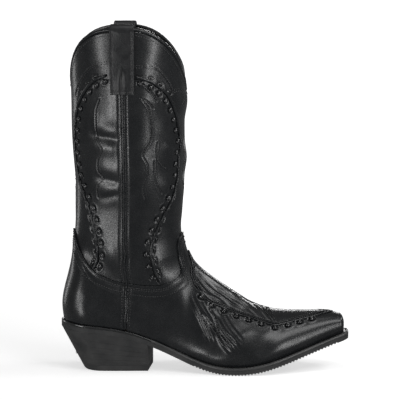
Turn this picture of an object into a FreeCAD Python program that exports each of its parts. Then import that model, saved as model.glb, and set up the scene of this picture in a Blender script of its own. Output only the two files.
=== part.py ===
"""A right-foot western boot, modelled as the separate pieces that a bootmaker assembles.

Row frame: +X towards the toe, +Y towards the inner (medial) side, +Z up, millimetres.
The origin is at the bottom centre of the whole boot, on the floor.
"""
import FreeCAD, Part
import math
import os

V = FreeCAD.Vector

# ---- driving dimensions -------------------------------------------------------------------
SOLE_THICK = 5.0            # rubber outsole
WELT_THICK = 2.4            # leather welt, heel rand, cork filler and shank share this layer
LAYER_GAP = 0.1             # air left between neighbouring sole layers
UPPER_THICK = 1.5           # outer leather of shaft, vamp, counter and arch overlays
LINING_THICK = 1.2
PLUG_THICK = 1.2            # overlay laced onto the top of the vamp
INSOLE_THICK = 3.0
SOCK_THICK = 2.5
SEAM_U = 0.238              # place of each side seam around the boot, 0 back, 0.5 front
PIPING_RADIUS = 1.3
CORD_RADIUS = 1.6           # core cord of the laced ridges
BINDING_RADIUS = 1.9        # rolled binding along the top line
SHAFT_SIDE_TOP = 357.9      # height of the leather edge at the side seams
DIP_FRONT = 64.0            # how far the scalloped top line drops at the front
DIP_BACK = 56.0             # and at the back
STRAP_WIDTH = 25.0
STRAP_THICK = 2.2
STRAP_BOTTOM = 293.5        # where the outer leg of a pull strap is sewn down
STRAP_SPRING = 357.5        # where the legs of a pull strap bend into its loop
STRAP_LOOP_TOP = 365.6
STRAP_INSIDE_BOTTOM = 312.0
STRAP_FINGER_GAP = 7.5      # room for fingers between inner leg and lining
LACE_PITCH = 12.4
LACE_THICK = 1.0
LACE_WIDTH = 3.4
HEEL_BREAST_X = -60.5       # front face of the heel
BREAST_SKEW = 4.5           # the inner end of the breast lies this much further forward
HEEL_REAR_SLANT = 24.0      # how far the heel's back runs in under the boot
HEEL_BOTTOM_WIDTH = 50.0
HEEL_LIFTS = 5
HEEL_CAP_THICK = 6.0
HEEL_CORNER = 8.0           # radius of the heel's lower rear corner in side view
RIB_PITCH = 3.4             # fine cross ribs under the outsole
RIB_DEPTH = 0.9
SHANK_WIDTH = 14.0
SHANK_THICK = 1.5
NAIL_RADIUS = 1.0
STITCH_PITCH = 4.4          # welt stitches

# Layers of the upper, as distances outwards from its outermost skin.
COVER = (-UPPER_THICK, 0.0)                 # vamp, counter cover and arch overlays
BASE = (-1.6 - UPPER_THICK, -1.6)           # shaft panels, toe box and counter stiffener
LINING = (-3.2 - LINING_THICK, -3.2)
PLUG = (0.1, 0.1 + PLUG_THICK)              # vamp plug, sewn on top of the vamp
INSIDE = -4.7               # the insole and sock stay inside this distance


# ---- interpolation helpers ----------------------------------------------------------------
class Curve:
    """A C2 natural cubic through (parameter, value) pairs, straight outside its ends."""

    def __init__(self, pairs):
        self.t = [float(p[0]) for p in pairs]
        self.y = [float(p[1]) for p in pairs]
        n = len(self.t)
        h = [self.t[i + 1] - self.t[i] for i in range(n - 1)]
        lower, diag, upper, rhs = [0.0] * n, [1.0] * n, [0.0] * n, [0.0] * n
        for i in range(1, n - 1):
            lower[i], diag[i], upper[i] = h[i - 1], 2 * (h[i - 1] + h[i]), h[i]
            slope_after = (self.y[i + 1] - self.y[i]) / h[i]
            slope_before = (self.y[i] - self.y[i - 1]) / h[i - 1]
            rhs[i] = 6 * (slope_after - slope_before)
        for i in range(1, n):
            k = lower[i] / diag[i - 1]
            diag[i] -= k * upper[i - 1]
            rhs[i] -= k * rhs[i - 1]
        m = [0.0] * n
        for i in range(n - 2, 0, -1):
            m[i] = (rhs[i] - upper[i] * m[i + 1]) / diag[i]
        self.m, self.h = m, h

    def __call__(self, t):
        i = 0
        while i < len(self.h) - 1 and t > self.t[i + 1]:
            i += 1
        h, a, b = self.h[i], self.t[i], self.t[i + 1]
        slope = (self.y[i + 1] - self.y[i]) / h
        if t < self.t[0]:
            return self.y[0] + (t - a) * (slope - h * self.m[1] / 6)
        if t > self.t[-1]:
            return self.y[-1] + (t - b) * (slope + h * self.m[-2] / 6)
        p, q = b - t, t - a
        bend = (p ** 3 * self.m[i] + q ** 3 * self.m[i + 1]) / (6 * h)
        bend -= h * (p * self.m[i] + q * self.m[i + 1]) / 6
        return (p * self.y[i] + q * self.y[i + 1]) / h + bend


class Monotone:
    """A cubic through (parameter, value) pairs that never overshoots them, flat outside."""

    def __init__(self, pairs):
        self.t = [float(p[0]) for p in pairs]
        self.y = [float(p[1]) for p in pairs]
        n = len(self.t)
        d = [(self.y[i + 1] - self.y[i]) / (self.t[i + 1] - self.t[i]) for i in range(n - 1)]
        self.s = [d[0]] + [0.0] * (n - 2) + [d[-1]]
        for i in range(1, n - 1):
            if d[i - 1] * d[i] > 0:
                self.s[i] = 2 * d[i - 1] * d[i] / (d[i - 1] + d[i])

    def __call__(self, t):
        t = min(max(t, self.t[0]), self.t[-1])
        i = 0
        while i < len(self.t) - 2 and t > self.t[i + 1]:
            i += 1
        h = self.t[i + 1] - self.t[i]
        k = (t - self.t[i]) / h
        return ((1 + 2 * k) * (1 - k) ** 2 * self.y[i] + k * (1 - k) ** 2 * h * self.s[i]
                + k * k * (3 - 2 * k) * self.y[i + 1] + k * k * (k - 1) * h * self.s[i + 1])


def smooth(t):
    t = min(max(t, 0.0), 1.0)
    return t * t * (3 - 2 * t)


def mix(a, b, t):
    return a + (b - a) * t


# ---- the skin of the boot -----------------------------------------------------------------
# A point of the skin has two parameters: u runs round the boot (0 back, 0.25 outer side,
# 0.5 front, 0.75 inner side) and v runs up it (0 at the feather edge where the upper meets
# the sole, 1 just above the top of the shaft).
FEATHER_BACK, FEATHER_FRONT = -150.4, 146.3
FEATHER_Z = Curve([(-153, 53), (-120, 48.8), (-83, 43.2), (-50, 31.6), (-20, 18.4), (5, 9.9),
                   (30, 7.6), (55, 9.8), (80, 16.0), (110, 26.2), (152, 40.6)])
BACK_X = Curve([(0, -150.4), (.06, -151.9), (.13, -151.0), (.23, -147.0), (.35, -142.0),
                (.46, -139.6), (.58, -138.2), (.65, -138.6), (.75, -140.0), (.85, -142.0), (1, -146.2)])
BACK_Z = Curve([(0, 52.7), (.06, 66), (.13, 79), (.23, 96), (.35, 117.7), (.46, 140),
                (.58, 173), (.65, 199), (.75, 238), (.85, 283), (1, 376)])
FRONT_X = Curve([(0, 146.3), (.04, 146.7), (.075, 145.4), (.10, 141), (.14, 127), (.19, 104),
                 (.25, 74), (.30, 52), (.35, 32), (.41, 7.4), (.46, -11.0), (.52, -22.2),
                 (.58, -23.9), (.65, -21.6), (.75, -20.6), (.85, -19.4), (1, -16.4)])
FRONT_Z = Curve([(0, 38.7), (.04, 47), (.075, 54.3), (.10, 58), (.14, 59.7), (.19, 59.9),
                 (.25, 60.8), (.30, 66.5), (.35, 78.5), (.41, 95.6), (.46, 111), (.52, 135.9),
                 (.58, 162), (.65, 194), (.75, 238), (.85, 283), (1, 376)])
SIDE_OUTER = Curve([(-151, 29), (-125, 29.2), (-95, 29.4), (-60, 28.6), (-30, 31), (0, 39), (25, 45),
                    (45, 46), (70, 41), (95, 30.6), (120, 20.4), (140, 13), (147, 10.8)])
SIDE_INNER = Curve([(-151, 29), (-125, 29.2), (-95, 29), (-60, 26.6), (-30, 27.4), (0, 35), (25, 41.5),
                    (45, 43.5), (70, 40.6), (95, 31.4), (120, 21), (140, 13), (147, 10.8)])
SHAFT_HALF_WIDTH = Curve([(0, 33), (.29, 34), (.41, 35.4), (.52, 38.6), (.58, 41.4), (.65, 45.4),
                          (.75, 51.2), (.85, 55.6), (1, 58)])
FULLNESS = Monotone([(-40, 1.5), (0, 1.6), (50, 2.0), (100, 2.6), (125, 3.2), (147, 4.0)])
HEEL_END, HEEL_ROUND = .11, 27.0     # stretch of u around the heel's back, and its depth in X
TOE_END, TOE_ROUND = .46, 4.0        # where the blunt toe end begins, and its corner depth
SIDE_RUN = Monotone([(HEEL_END, FEATHER_BACK + HEEL_ROUND), (SEAM_U, -84), (.29, -44), (.34, 6),
                     (.38, 51), (.42, 97), (TOE_END, FEATHER_FRONT - TOE_ROUND)])
BULGE, BULGE_HEIGHT = 3.2, 14.0      # how far the upper swells beyond the feather edge
CREST = [(FRONT_X(.10 + .5 * i / 500), FRONT_Z(.10 + .5 * i / 500)) for i in range(500)
         if i == 0 or FRONT_X(.10 + .5 * i / 500) > -25.3]


def crest_z(x):
    """Height of the front ridge above the point x of the foot."""
    if x >= CREST[0][0]:
        return CREST[0][1]
    if x <= CREST[-1][0]:
        return CREST[-1][1] + 12 * (CREST[-1][0] - x)
    low, high = 0, len(CREST) - 1
    while high - low > 1:
        mid = (low + high) // 2
        if CREST[mid][0] > x:
            low = mid
        else:
            high = mid
    k = (CREST[low][0] - x) / (CREST[low][0] - CREST[high][0])
    return mix(CREST[low][1], CREST[high][1], k)


def outline_run(h):
    """(x, share of the half width) of the feather edge at h, which is u folded to 0..0.5."""
    if h < HEEL_END:
        turn = math.pi / 2 * h / HEEL_END
        return FEATHER_BACK + HEEL_ROUND * (1 - math.cos(turn)), math.sin(turn)
    if h > TOE_END:
        turn = math.pi / 2 * (0.5 - h) / (0.5 - TOE_END)
        return FEATHER_FRONT - TOE_ROUND * (1 - math.cos(turn)) ** 2, math.sin(turn)
    return SIDE_RUN(h), 1.0


def skin(u, v):
    """The point of the boot's outer skin at (u, v)."""
    u = u % 1.0
    outer = u <= 0.5
    h = u if outer else 1.0 - u
    turn = 2 * math.pi * h
    edge_x, share = outline_run(h)
    along_foot = (edge_x - FEATHER_BACK) / (FEATHER_FRONT - FEATHER_BACK)
    roundness = min(1.0, (v / 0.5) ** 2)
    lam = mix(along_foot, (1 - math.cos(turn)) / 2, roundness)
    x = mix(BACK_X(v), FRONT_X(v), lam)
    straight_x = mix(FEATHER_BACK, FEATHER_FRONT, lam)
    sag = FEATHER_Z(straight_x) - mix(FEATHER_Z(FEATHER_BACK), FEATHER_Z(FEATHER_FRONT), lam)
    z = mix(BACK_Z(v), FRONT_Z(v), lam) + max(0.0, 1 - v) * sag
    base = FEATHER_Z(x)
    rise = max(0.0, z - base)
    climb = min(1.0, rise / max(1.0, crest_z(x) - base))
    side = (SIDE_OUTER if outer else SIDE_INNER)(min(max(x, -151.0), 147.0))
    side += BULGE * rise / BULGE_HEIGHT * math.exp(1 - rise / BULGE_HEIGHT)
    foot = side * math.sqrt(1 - climb ** FULLNESS(x))
    blunt = 1 - smooth((v - .05) / .07)
    if h > TOE_END:
        foot *= share ** blunt * math.tanh((0.5 - h) / .004)
    else:
        foot *= share
    shaft = SHAFT_HALF_WIDTH(v) * math.sin(turn)
    y = mix(foot, shaft, smooth((v - .16) / .36))
    return V(x, -y if outer else y, z)


NORMAL_DU, NORMAL_DV = .015, .025     # wide enough to ease the layers round the toe corners


def normal(u, v):
    """Outward unit direction along which the leather layers are stacked.

    Near the feather edge it lies level, so all layers end on the welt.
    """
    along = skin(u + NORMAL_DU, v) - skin(u - NORMAL_DU, v)
    up = skin(u, v + NORMAL_DV) - skin(u, max(0.0, v - NORMAL_DV))
    n = along.cross(up)
    n.z *= smooth(v / .06)
    return n.normalize()


def layer(u, v, distance):
    return skin(u, v) + normal(u, v) * distance


def v_at_height(u, z):
    low, high = 0.0, 1.05
    for _ in range(30):
        mid = (low + high) / 2
        if skin(u, mid).z < z:
            low = mid
        else:
            high = mid
    return (low + high) / 2


def u_shift(u, v, distance):
    """The u that lies a distance in mm further round the boot."""
    step = .002
    return u + distance * 2 * step / (skin(u + step, v) - skin(u - step, v)).Length


def u_of_side_x(x):
    """The u at which the side of the feather edge passes x."""
    low, high = HEEL_END, TOE_END
    for _ in range(30):
        mid = (low + high) / 2
        if SIDE_RUN(mid) < x:
            low = mid
        else:
            high = mid
    return low


def fold(u):
    u = u % 1.0
    return min(u, 1.0 - u)


# ---- edges of the leather pieces, in skin parameters --------------------------------------
VAMP_TOP = Monotone([(SEAM_U, .361), (.288, .418), (.332, .431), (.368, .440), (.393, .449),
                     (.407, .464), (.413, .490), (.419, .516), (.432, .530), (.462, .538), (.5, .541)])
COUNTER_TOP = Monotone([(0, .497), (.015, .494), (.054, .456), (.083, .406), (.125, .342),
                        (.154, .324), (.194, .322), (SEAM_U, .352)])
ARCH_FRONT = Monotone([(.38, .333), (.441, .326), (.475, .318), (.513, .310), (.556, .323),
                       (.598, .351), (.644, .390), (.696, .417), (.759, .425), (.815, .408),
                       (.863, .373), (.895, .316), (.905, .271)])
ARCH_BACK = Monotone([(.30, .128), (.349, .140), (.40, .154), (.446, .159), (.514, .152),
                      (.582, .133), (.625, .107), (.676, .078), (.741, .068), (.804, .076),
                      (.844, .092), (.873, .124), (.894, .163), (.903, .196)])
PLUG_HALF_WIDTH = Monotone([(.118, .003), (.130, .022), (.142, .040), (.155, .052), (.168, .067),
                            (.18, .077), (.223, .072), (.275, .067), (.323, .078), (.366, .094),
                            (.408, .089), (.443, .072), (.473, .024), (.495, .003)])
PLUG_LOW, PLUG_HIGH = .118, .495
TOP_ROUND = .12             # how softly the scallops round at their lowest points


def top_height(u):
    s = abs(math.sin(2 * math.pi * u))
    s = (math.hypot(s, TOP_ROUND) - TOP_ROUND) / (math.hypot(1, TOP_ROUND) - TOP_ROUND)
    if .25 < u % 1.0 < .75:
        return SHAFT_SIDE_TOP - DIP_FRONT * (1 - s) ** 1.05
    return SHAFT_SIDE_TOP - DIP_BACK * (1 - s) ** 1.5


TOP_TABLE = Curve([(i / 200, v_at_height(i / 200, top_height(i / 200))) for i in range(101)])


def top_v(u):
    return TOP_TABLE(fold(u))


# ---- solids from grids of points ----------------------------------------------------------
def surface(grid):
    s = Part.BSplineSurface()
    s.interpolate(grid)
    return s


FORWARD = 1                 # ruled faces run between rims in the same sense


def solid_between(outer_grid, inner_grid):
    """Closed solid between two grids of points of equal size."""
    a, b = surface(outer_grid), surface(inner_grid)
    faces = [a.toShape(), b.toShape()]
    a0, a1, a2, a3 = a.bounds()
    b0, b1, b2, b3 = b.bounds()
    rims = [(a.uIso(a0), b.uIso(b0)), (a.uIso(a1), b.uIso(b1)),
            (a.vIso(a2), b.vIso(b2)), (a.vIso(a3), b.vIso(b3))]
    for outer_rim, inner_rim in rims:
        faces.append(Part.makeRuledSurface(outer_rim.toShape(), inner_rim.toShape(), FORWARD))
    return sewn(faces)


def outward(solid):
    if solid.Volume < 0:
        solid.reverse()
    return solid


def patch(place, span, rows, columns):
    """Leather piece: place(s, t) gives (u, v), span is its (inner, outer) distance."""
    grids = []
    for distance in (span[1], span[0]):
        grids.append([[layer(*place(i / rows, j / columns), distance)
                       for j in range(columns + 1)] for i in range(rows + 1)])
    return solid_between(grids[0], grids[1])


def crowd(s, strength):
    """Redistributes 0..1: stations crowd towards the middle, or towards both ends if negative."""
    return s + strength * math.sin(2 * math.pi * s)


ROW_SAMPLES = 240
ROW_TABLES = {}


def even_u(start, end, v, share):
    """The u that lies a share of the length along the skin's row v, from u = start to end."""
    key = (start, end, v)
    if key not in ROW_TABLES:
        us = [mix(start, end, i / ROW_SAMPLES) for i in range(ROW_SAMPLES + 1)]
        points = [skin(u, v) for u in us]
        run = [0.0]
        for before, after in zip(points, points[1:]):
            run.append(run[-1] + (after - before).Length)
        ROW_TABLES[key] = us, run
    us, run = ROW_TABLES[key]
    wanted = share * run[-1]
    low, high = 0, ROW_SAMPLES
    while high - low > 1:
        mid = (low + high) // 2
        if run[mid] <= wanted:
            low = mid
        else:
            high = mid
    return mix(us[low], us[high], (wanted - run[low]) / (run[high] - run[low]))


RING_STEPS = 16             # points round the closed cord
HALF_STEPS = 8              # points over half an open cord, less one
CORD_FLAT = math.radians(5) # half the angle of the narrow flats where two halves meet


def cord(points, radius):
    """Round cord along an open path of points, as an upper and a lower half."""
    count = len(points)
    halves = [[], []]
    side = None
    for i in range(count):
        tangent = (points[min(count - 1, i + 1)] - points[max(0, i - 1)]).normalize()
        if side is None:
            side = tangent.cross(V(0, 0, 1))
        side = (side - tangent * side.dot(tangent)).normalize()
        rise = side.cross(tangent).normalize()
        for half, sense in zip(halves, (1, -1)):
            row = []
            for k in range(HALF_STEPS + 1):
                turn = mix(CORD_FLAT, math.pi - CORD_FLAT, k / HALF_STEPS)
                across = side * (radius * math.cos(turn))
                row.append(points[i] + across + rise * (sense * radius * math.sin(turn)))
            half.append(row)
    return solid_between(halves[0], halves[1])


def ring_cord(points, radius):
    """Round cord along a closed, nowhere upright path. It joins up at its first point."""
    count = len(points)
    rows = []
    for i in range(count + 1):
        i = i % count
        tangent = (points[(i + 1) % count] - points[i - 1]).normalize()
        side = tangent.cross(V(0, 0, 1)).normalize()
        rise = side.cross(tangent).normalize()
        turns = [2 * math.pi * (k % RING_STEPS) / RING_STEPS for k in range(RING_STEPS + 1)]
        rows.append([points[i] + side * (radius * math.cos(turn)) + rise * (radius * math.sin(turn))
                     for turn in turns])
    whole = surface(rows)
    start, end, low, high = whole.bounds()
    faces = []
    for path_span in ((start, mix(start, end, .5)), (mix(start, end, .5), end)):
        for ring_span in ((low, mix(low, high, .5)), (mix(low, high, .5), high)):
            part = whole.copy()
            part.segment(path_span[0], path_span[1], ring_span[0], ring_span[1])
            faces.append(part.toShape())
    return sewn(faces)


SEWING_TOLERANCE = .002


def sewn(faces):
    shell = Part.makeShell(faces)
    shell.sewShape(SEWING_TOLERANCE)
    return outward(Part.makeSolid(Part.Shell(shell.Faces)))


def beside(path, index, sideways, distance):
    """A point beside a path of (u, v): sideways in the leather, distance outwards of the skin."""
    before, after = path[max(0, index - 1)], path[min(len(path) - 1, index + 1)]
    u, v = path[index]
    run = layer(after[0], after[1], distance) - layer(before[0], before[1], distance)
    across = run.cross(normal(u, v)).normalize()
    return layer(u, v, distance) + across * sideways


# ---- upper --------------------------------------------------------------------------------
TUCK = .045                 # how far the shaft panels reach down under vamp and counter
SEAM_SLIT = .15
EDGE_GAP = .0012            # in v, between the cover pieces


def front_piece(s, t, low, high, gap):
    """Place in a piece that spans the front between the side seams."""
    v_mid = mix(low(.36), high(.36), t)
    left = u_shift(SEAM_U, v_mid, gap)
    u = even_u(left, 1 - left, v_mid, s)
    return u, mix(low(u), high(u), t)


def back_piece(s, t, low, high, gap):
    v_mid = mix(low(.12), high(.12), t)
    side = u_shift(SEAM_U, v_mid, -gap)
    u = even_u(-side, side, v_mid, s)
    return u, mix(low(u), high(u), t)


def level(value):
    return lambda u: value


def shaft_front(span):
    low = lambda u: VAMP_TOP(fold(u)) - TUCK
    return patch(lambda s, t: front_piece(s, t, low, top_v, SEAM_SLIT), span, 44, 24)


def shaft_back(span, low):
    return patch(lambda s, t: back_piece(s, t, low, top_v, SEAM_SLIT), span, 44, 24)


def counter_tucked(u):
    return COUNTER_TOP(fold(u)) - TUCK


PIPING_ROOM = PIPING_RADIUS + .12


def vamp():
    def place(s, t):
        return front_piece(s, t ** 1.4, level(0.0), lambda u: VAMP_TOP(fold(u)), PIPING_ROOM)
    return patch(place, COVER, 90, 34)


def vamp_lining():
    def place(s, t):
        return front_piece(s, t ** 1.3, level(0.0), lambda u: VAMP_TOP(fold(u)) - TUCK - .008, .3)
    return patch(place, LINING, 64, 24)


def counter_cover():
    def place(s, t):
        return back_piece(s, t, level(0.0), lambda u: COUNTER_TOP(fold(u)), PIPING_ROOM)
    return patch(place, COVER, 44, 18)


def counter_stiffener():
    def place(s, t):
        u = mix(-.2, .2, s)
        return u, mix(0.0, COUNTER_TOP(fold(u)) - TUCK - .01, t)
    return patch(place, BASE, 30, 12)


def toe_box():
    def place(s, t):
        v = mix(0.0, .19, t)
        return even_u(.37, .63, v, s), v
    return patch(place, BASE, 40, 18)


def vamp_plug():
    def place(s, t):
        v = mix(PLUG_LOW, PLUG_HIGH, t)
        half = PLUG_HALF_WIDTH(v)
        return even_u(.5 - half, .5 + half, v, s), v
    return patch(place, PLUG, 12, 40)


def arch_overlay(front, inner):
    """Half of the arched overlay, between the side piping and the laced cord."""
    arch, edge, low, top = ARCH_BACK, COUNTER_TOP, .352, .900
    if front:
        arch, edge, low, top = ARCH_FRONT, VAMP_TOP, .4425, .903
    gap = PIPING_ROOM if front else -PIPING_ROOM
    seam_low = edge(SEAM_U) + EDGE_GAP

    def place(s, t):
        arch_v = mix(low, top, 1 - (1 - t) ** 1.6)
        seam_v = mix(seam_low, top - .0015, t)
        u = mix(u_shift(SEAM_U, seam_v, gap), arch(arch_v), s)
        v = mix(seam_v, arch_v, s)
        foot_v = mix(seam_low, low, s)
        v += (1 - t) ** 5 * (edge(u) + EDGE_GAP - foot_v)
        return (1 - u if inner else u), v
    return patch(place, (BASE[1] + .1, COVER[1] - .3), 14, 30)


def mirrored(path, inner):
    return [(1 - u, v) for u, v in path] if inner else path


ARCH_STEPS = 60
STRAP_EDGE = STRAP_WIDTH / 2 + CORD_RADIUS + .6


def arch_path(front):
    """(u, v) along the laced arch, from its foot to the edge of the pull strap."""
    arch, edge, low, top = ARCH_BACK, COUNTER_TOP, .34, .903
    if front:
        arch, edge, low, top = ARCH_FRONT, VAMP_TOP, .43, .905
    path = []
    for i in range(ARCH_STEPS + 1):
        k = i / ARCH_STEPS
        v = mix(low, top, 1 - (1 - k) ** 1.7)
        u = arch(v)
        away = abs(skin(u, v).x - skin(SEAM_U, v).x)
        if v > edge(u) + .009 and (v < .8 or away > STRAP_EDGE):
            path.append((u, v))
    return path


def cord_points(path, sideways, surface_distance):
    height = surface_distance + .05 + CORD_RADIUS
    return [beside(path, i, sideways, height) for i in range(len(path))]


def arch_side(front, inner):
    """Direction, to the right of the path seen from outside, that leads out of the arch."""
    return 1 if front != inner else -1


def arch_cord(front, inner):
    path = mirrored(arch_path(front), inner)
    return cord(cord_points(path, arch_side(front, inner) * (CORD_RADIUS + .1), BASE[1]), CORD_RADIUS)


def lace_over(centre, run, out, away):
    """One whip stitch: a flat lace bent over a cord. It reaches lower on its outer side."""
    inner_radius = CORD_RADIUS + .08
    band = Part.makeCylinder(inner_radius + LACE_THICK, LACE_WIDTH, V(0, 0, 0), V(0, 0, 1), 205)
    band = band.cut(Part.makeCylinder(inner_radius, LACE_WIDTH + 2, V(0, 0, -1)))
    band.translate(V(0, 0, -LACE_WIDTH / 2))
    band.rotate(V(0, 0, 0), V(0, 0, 1), -25)
    up = run.cross(away).normalize()
    if up.dot(out) < 0:
        band = band.mirror(V(0, 0, 0), V(0, 1, 0))
    matrix = FreeCAD.Matrix(away.x, up.x, run.x, centre.x, away.y, up.y, run.y, centre.y,
                            away.z, up.z, run.z, centre.z, 0, 0, 0, 1)
    return band.transformGeometry(matrix)


def lacing(path, sideways, surface_distance):
    """Whip stitches at an even pitch along a corded edge."""
    points = cord_points(path, sideways, surface_distance)
    stitches, travelled, next_stitch = [], 0.0, LACE_PITCH / 2
    for i in range(1, len(points) - 1):
        travelled += (points[i] - points[i - 1]).Length
        if travelled >= next_stitch:
            next_stitch += LACE_PITCH
            run = (points[i + 1] - points[i - 1]).normalize()
            out = normal(*path[i])
            away = run.cross(out).normalize()
            if sideways < 0:
                away = away * -1
            stitches.append(lace_over(points[i], run, out, away))
    return stitches


def arch_lacing(inner):
    stitches = []
    for front in (True, False):
        path = mirrored(arch_path(front), inner)
        shift = arch_side(front, inner) * (CORD_RADIUS + .1)
        stitches += lacing(path, shift, BASE[1])
    return Part.makeCompound(stitches)


def plug_path(inner):
    path = []
    for i in range(81):
        v = mix(PLUG_LOW + .008, PLUG_HIGH - .012, i / 80)
        path.append((.5 - PLUG_HALF_WIDTH(v), v))
    return mirrored(path, inner)


def plug_cord(inner):
    shift = (-1 if inner else 1) * -(CORD_RADIUS + .12)
    return cord(cord_points(plug_path(inner), shift, COVER[1]), CORD_RADIUS)


def vamp_lacing():
    stitches = []
    for inner in (False, True):
        shift = (-1 if inner else 1) * -(CORD_RADIUS + .12)
        stitches += lacing(plug_path(inner), shift, COVER[1])
    return Part.makeCompound(stitches)


def side_piping(inner):
    high = v_at_height(SEAM_U, STRAP_BOTTOM + 18)
    path = mirrored([(SEAM_U, mix(.012, high, i / 40)) for i in range(41)], inner)
    return cord([layer(u, v, BASE[1] + .06 + PIPING_RADIUS) for u, v in path], PIPING_RADIUS)


def top_binding():
    distance = (BASE[1] + LINING[0]) / 2
    stations = []
    for start, end in ((SEAM_U, 1 - SEAM_U), (1 - SEAM_U, 1 + SEAM_U)):
        stations += [mix(start, end, crowd(i / 80, -.1)) for i in range(80)]
    path = [(u, top_v(u)) for u in [stations[-1]] + stations + [stations[0]]]
    points = [beside(path, i, -(BINDING_RADIUS + .15), distance) for i in range(1, len(path) - 1)]
    return ring_cord(points, BINDING_RADIUS)


def pull_strap(inner):
    """A webbing loop: sewn outside, over the top, and free inside down to its lower end."""
    inside = LINING[0] - STRAP_FINGER_GAP
    middle = (inside + .1) / 2
    half_loop = (.1 - inside) / 2
    outer_grid, inner_grid = [], []
    for i in range(17):
        x_side = mix(-STRAP_WIDTH / 2, STRAP_WIDTH / 2, i / 16)
        u_here = u_shift(SEAM_U, .95, x_side)
        u_here = 1 - u_here if inner else u_here
        bulge_across = math.exp(-(x_side / 2.6) ** 2)
        faces = []
        for thick in (STRAP_THICK, 0.0):
            column = []
            for k in range(15):
                z = mix(STRAP_BOTTOM, STRAP_SPRING, k / 14)
                bulge = 1.35 * bulge_across * (1 - smooth((z - STRAP_BOTTOM - 16) / 14))
                column.append(layer(u_here, v_at_height(u_here, z), .1 + bulge + thick))
            v_top = v_at_height(u_here, STRAP_SPRING)
            rise = STRAP_LOOP_TOP - STRAP_THICK - STRAP_SPRING
            for k in range(1, 12):
                turn = math.pi * k / 12
                point = layer(u_here, v_top, middle + (half_loop + thick) * math.cos(turn))
                column.append(point + V(0, 0, (rise + thick) * math.sin(turn)))
            for k in range(13):
                z = mix(STRAP_SPRING, STRAP_INSIDE_BOTTOM, k / 12)
                free = smooth((z - STRAP_INSIDE_BOTTOM - 8) / 12)
                hang = mix(LINING[0] - .15, inside, free)
                column.append(layer(u_here, v_at_height(u_here, z), hang - thick))
            faces.append(column)
        outer_grid.append(faces[0])
        inner_grid.append(faces[1])
    return solid_between(outer_grid, inner_grid)


# ---- bottom -------------------------------------------------------------------------------
SOLE_TOP_DROP = .1          # the sole layers start this far below the upper
WELT_BOTTOM = SOLE_TOP_DROP + WELT_THICK
SOLE_BOTTOM = WELT_BOTTOM + LAYER_GAP + SOLE_THICK
EXTENSION = Monotone([(0, 2.4), (.2, 2.0), (.30, 2.4), (.35, 4.6), (.40, 5.2), (.5, 5.3)])
OUTLINE_STATIONS = 160
OUTLINE_EDGES = 12
OUTLINE_SPACING = 2.2       # points of an outline are at least this far apart
FAR = 90.0


def plan_outline(distance_at):
    """Closed flat outline of the feather edge, moved outwards by distance_at(folded u)."""
    points = []
    for i in range(OUTLINE_STATIONS):
        u = i / OUTLINE_STATIONS
        p = layer(u, 0.0, distance_at(fold(u)))
        p.z = 0
        if not points or (p - points[-1]).Length > OUTLINE_SPACING:
            points.append(p)
    if (points[0] - points[-1]).Length < OUTLINE_SPACING:
        points.pop()
    curve = Part.BSplineCurve()
    curve.interpolate(points, PeriodicFlag=True)
    start, end = curve.FirstParameter, curve.LastParameter
    edges = []
    for k in range(OUTLINE_EDGES):
        edge = curve.copy()
        edge.segment(mix(start, end, k / OUTLINE_EDGES), mix(start, end, (k + 1) / OUTLINE_EDGES))
        edges.append(edge.toShape())
    return Part.Wire(edges)


def prism(outline):
    solid = Part.Face(outline).extrude(V(0, 0, FAR))
    solid.translate(V(0, 0, -10))
    return solid


def slab(top, bottom, x_start=-160.0, x_end=160.0):
    """Sheet that follows the feather edge in side view, between two heights relative to it."""
    xs = [mix(x_start, x_end, i / 40) for i in range(41)]
    edges = []
    for height in (top, bottom):
        curve = Part.BSplineCurve()
        curve.interpolate([V(x, -FAR, FEATHER_Z(x) + height) for x in xs])
        edges.append(curve.toShape())
    for x in (x_start, x_end):
        edges.append(Part.makeLine(V(x, -FAR, FEATHER_Z(x) + top), V(x, -FAR, FEATHER_Z(x) + bottom)))
    wire = Part.Wire(Part.__sortEdges__(edges))
    return Part.Face(wire).extrude(V(0, 2 * FAR, 0))


def sole_outline():
    return plan_outline(lambda h: EXTENSION(h))


WELT_JOINT_X = -57.0        # welt and heel rand meet here, just ahead of the heel breast
INSEAM = -4.9


def ring_strip(start, end, steps):
    """Stretch of the ring under the feather edge, from u = start to u = end."""
    grids = []
    for drop in (SOLE_TOP_DROP, WELT_BOTTOM):
        rows = []
        for i in range(steps + 1):
            u = mix(start, end, i / steps)
            row = []
            for k in range(4):
                p = layer(u, 0.0, mix(INSEAM, EXTENSION(fold(u)), k / 3))
                row.append(V(p.x, p.y, FEATHER_Z(p.x) - drop))
            rows.append(row)
        grids.append(rows)
    return solid_between(grids[0], grids[1])


def welt():
    joint = u_of_side_x(WELT_JOINT_X + .1)
    return ring_strip(joint, 1 - joint, 90)


def heel_rand():
    joint = u_of_side_x(WELT_JOINT_X)
    return ring_strip(-joint, joint, 60)


SHANK_FROM, SHANK_TO = -118.0, 12.0


def shank():
    body = Part.makeBox(SHANK_TO - SHANK_FROM, SHANK_WIDTH, FAR, V(SHANK_FROM, -SHANK_WIDTH / 2, -10))
    body = body.makeFillet(SHANK_WIDTH / 2 - .1, [e for e in body.Edges if is_upright(e)])
    return body.common(slab(-SOLE_TOP_DROP - .4, -SOLE_TOP_DROP - .4 - SHANK_THICK))


def is_upright(edge):
    a, b = edge.Vertexes[0].Point, edge.Vertexes[-1].Point
    return abs(a.x - b.x) + abs(a.y - b.y) < .01


def cork_filler():
    body = prism(plan_outline(level(INSEAM - .15))).common(slab(-SOLE_TOP_DROP, -WELT_BOTTOM))
    pocket = Part.makeBox(SHANK_TO - SHANK_FROM + .4, SHANK_WIDTH + .4, FAR,
                          V(SHANK_FROM - .2, -SHANK_WIDTH / 2 - .2, -10))
    pocket = pocket.common(slab(0.5, -SOLE_TOP_DROP - .5 - SHANK_THICK))
    return body.cut(pocket)


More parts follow.
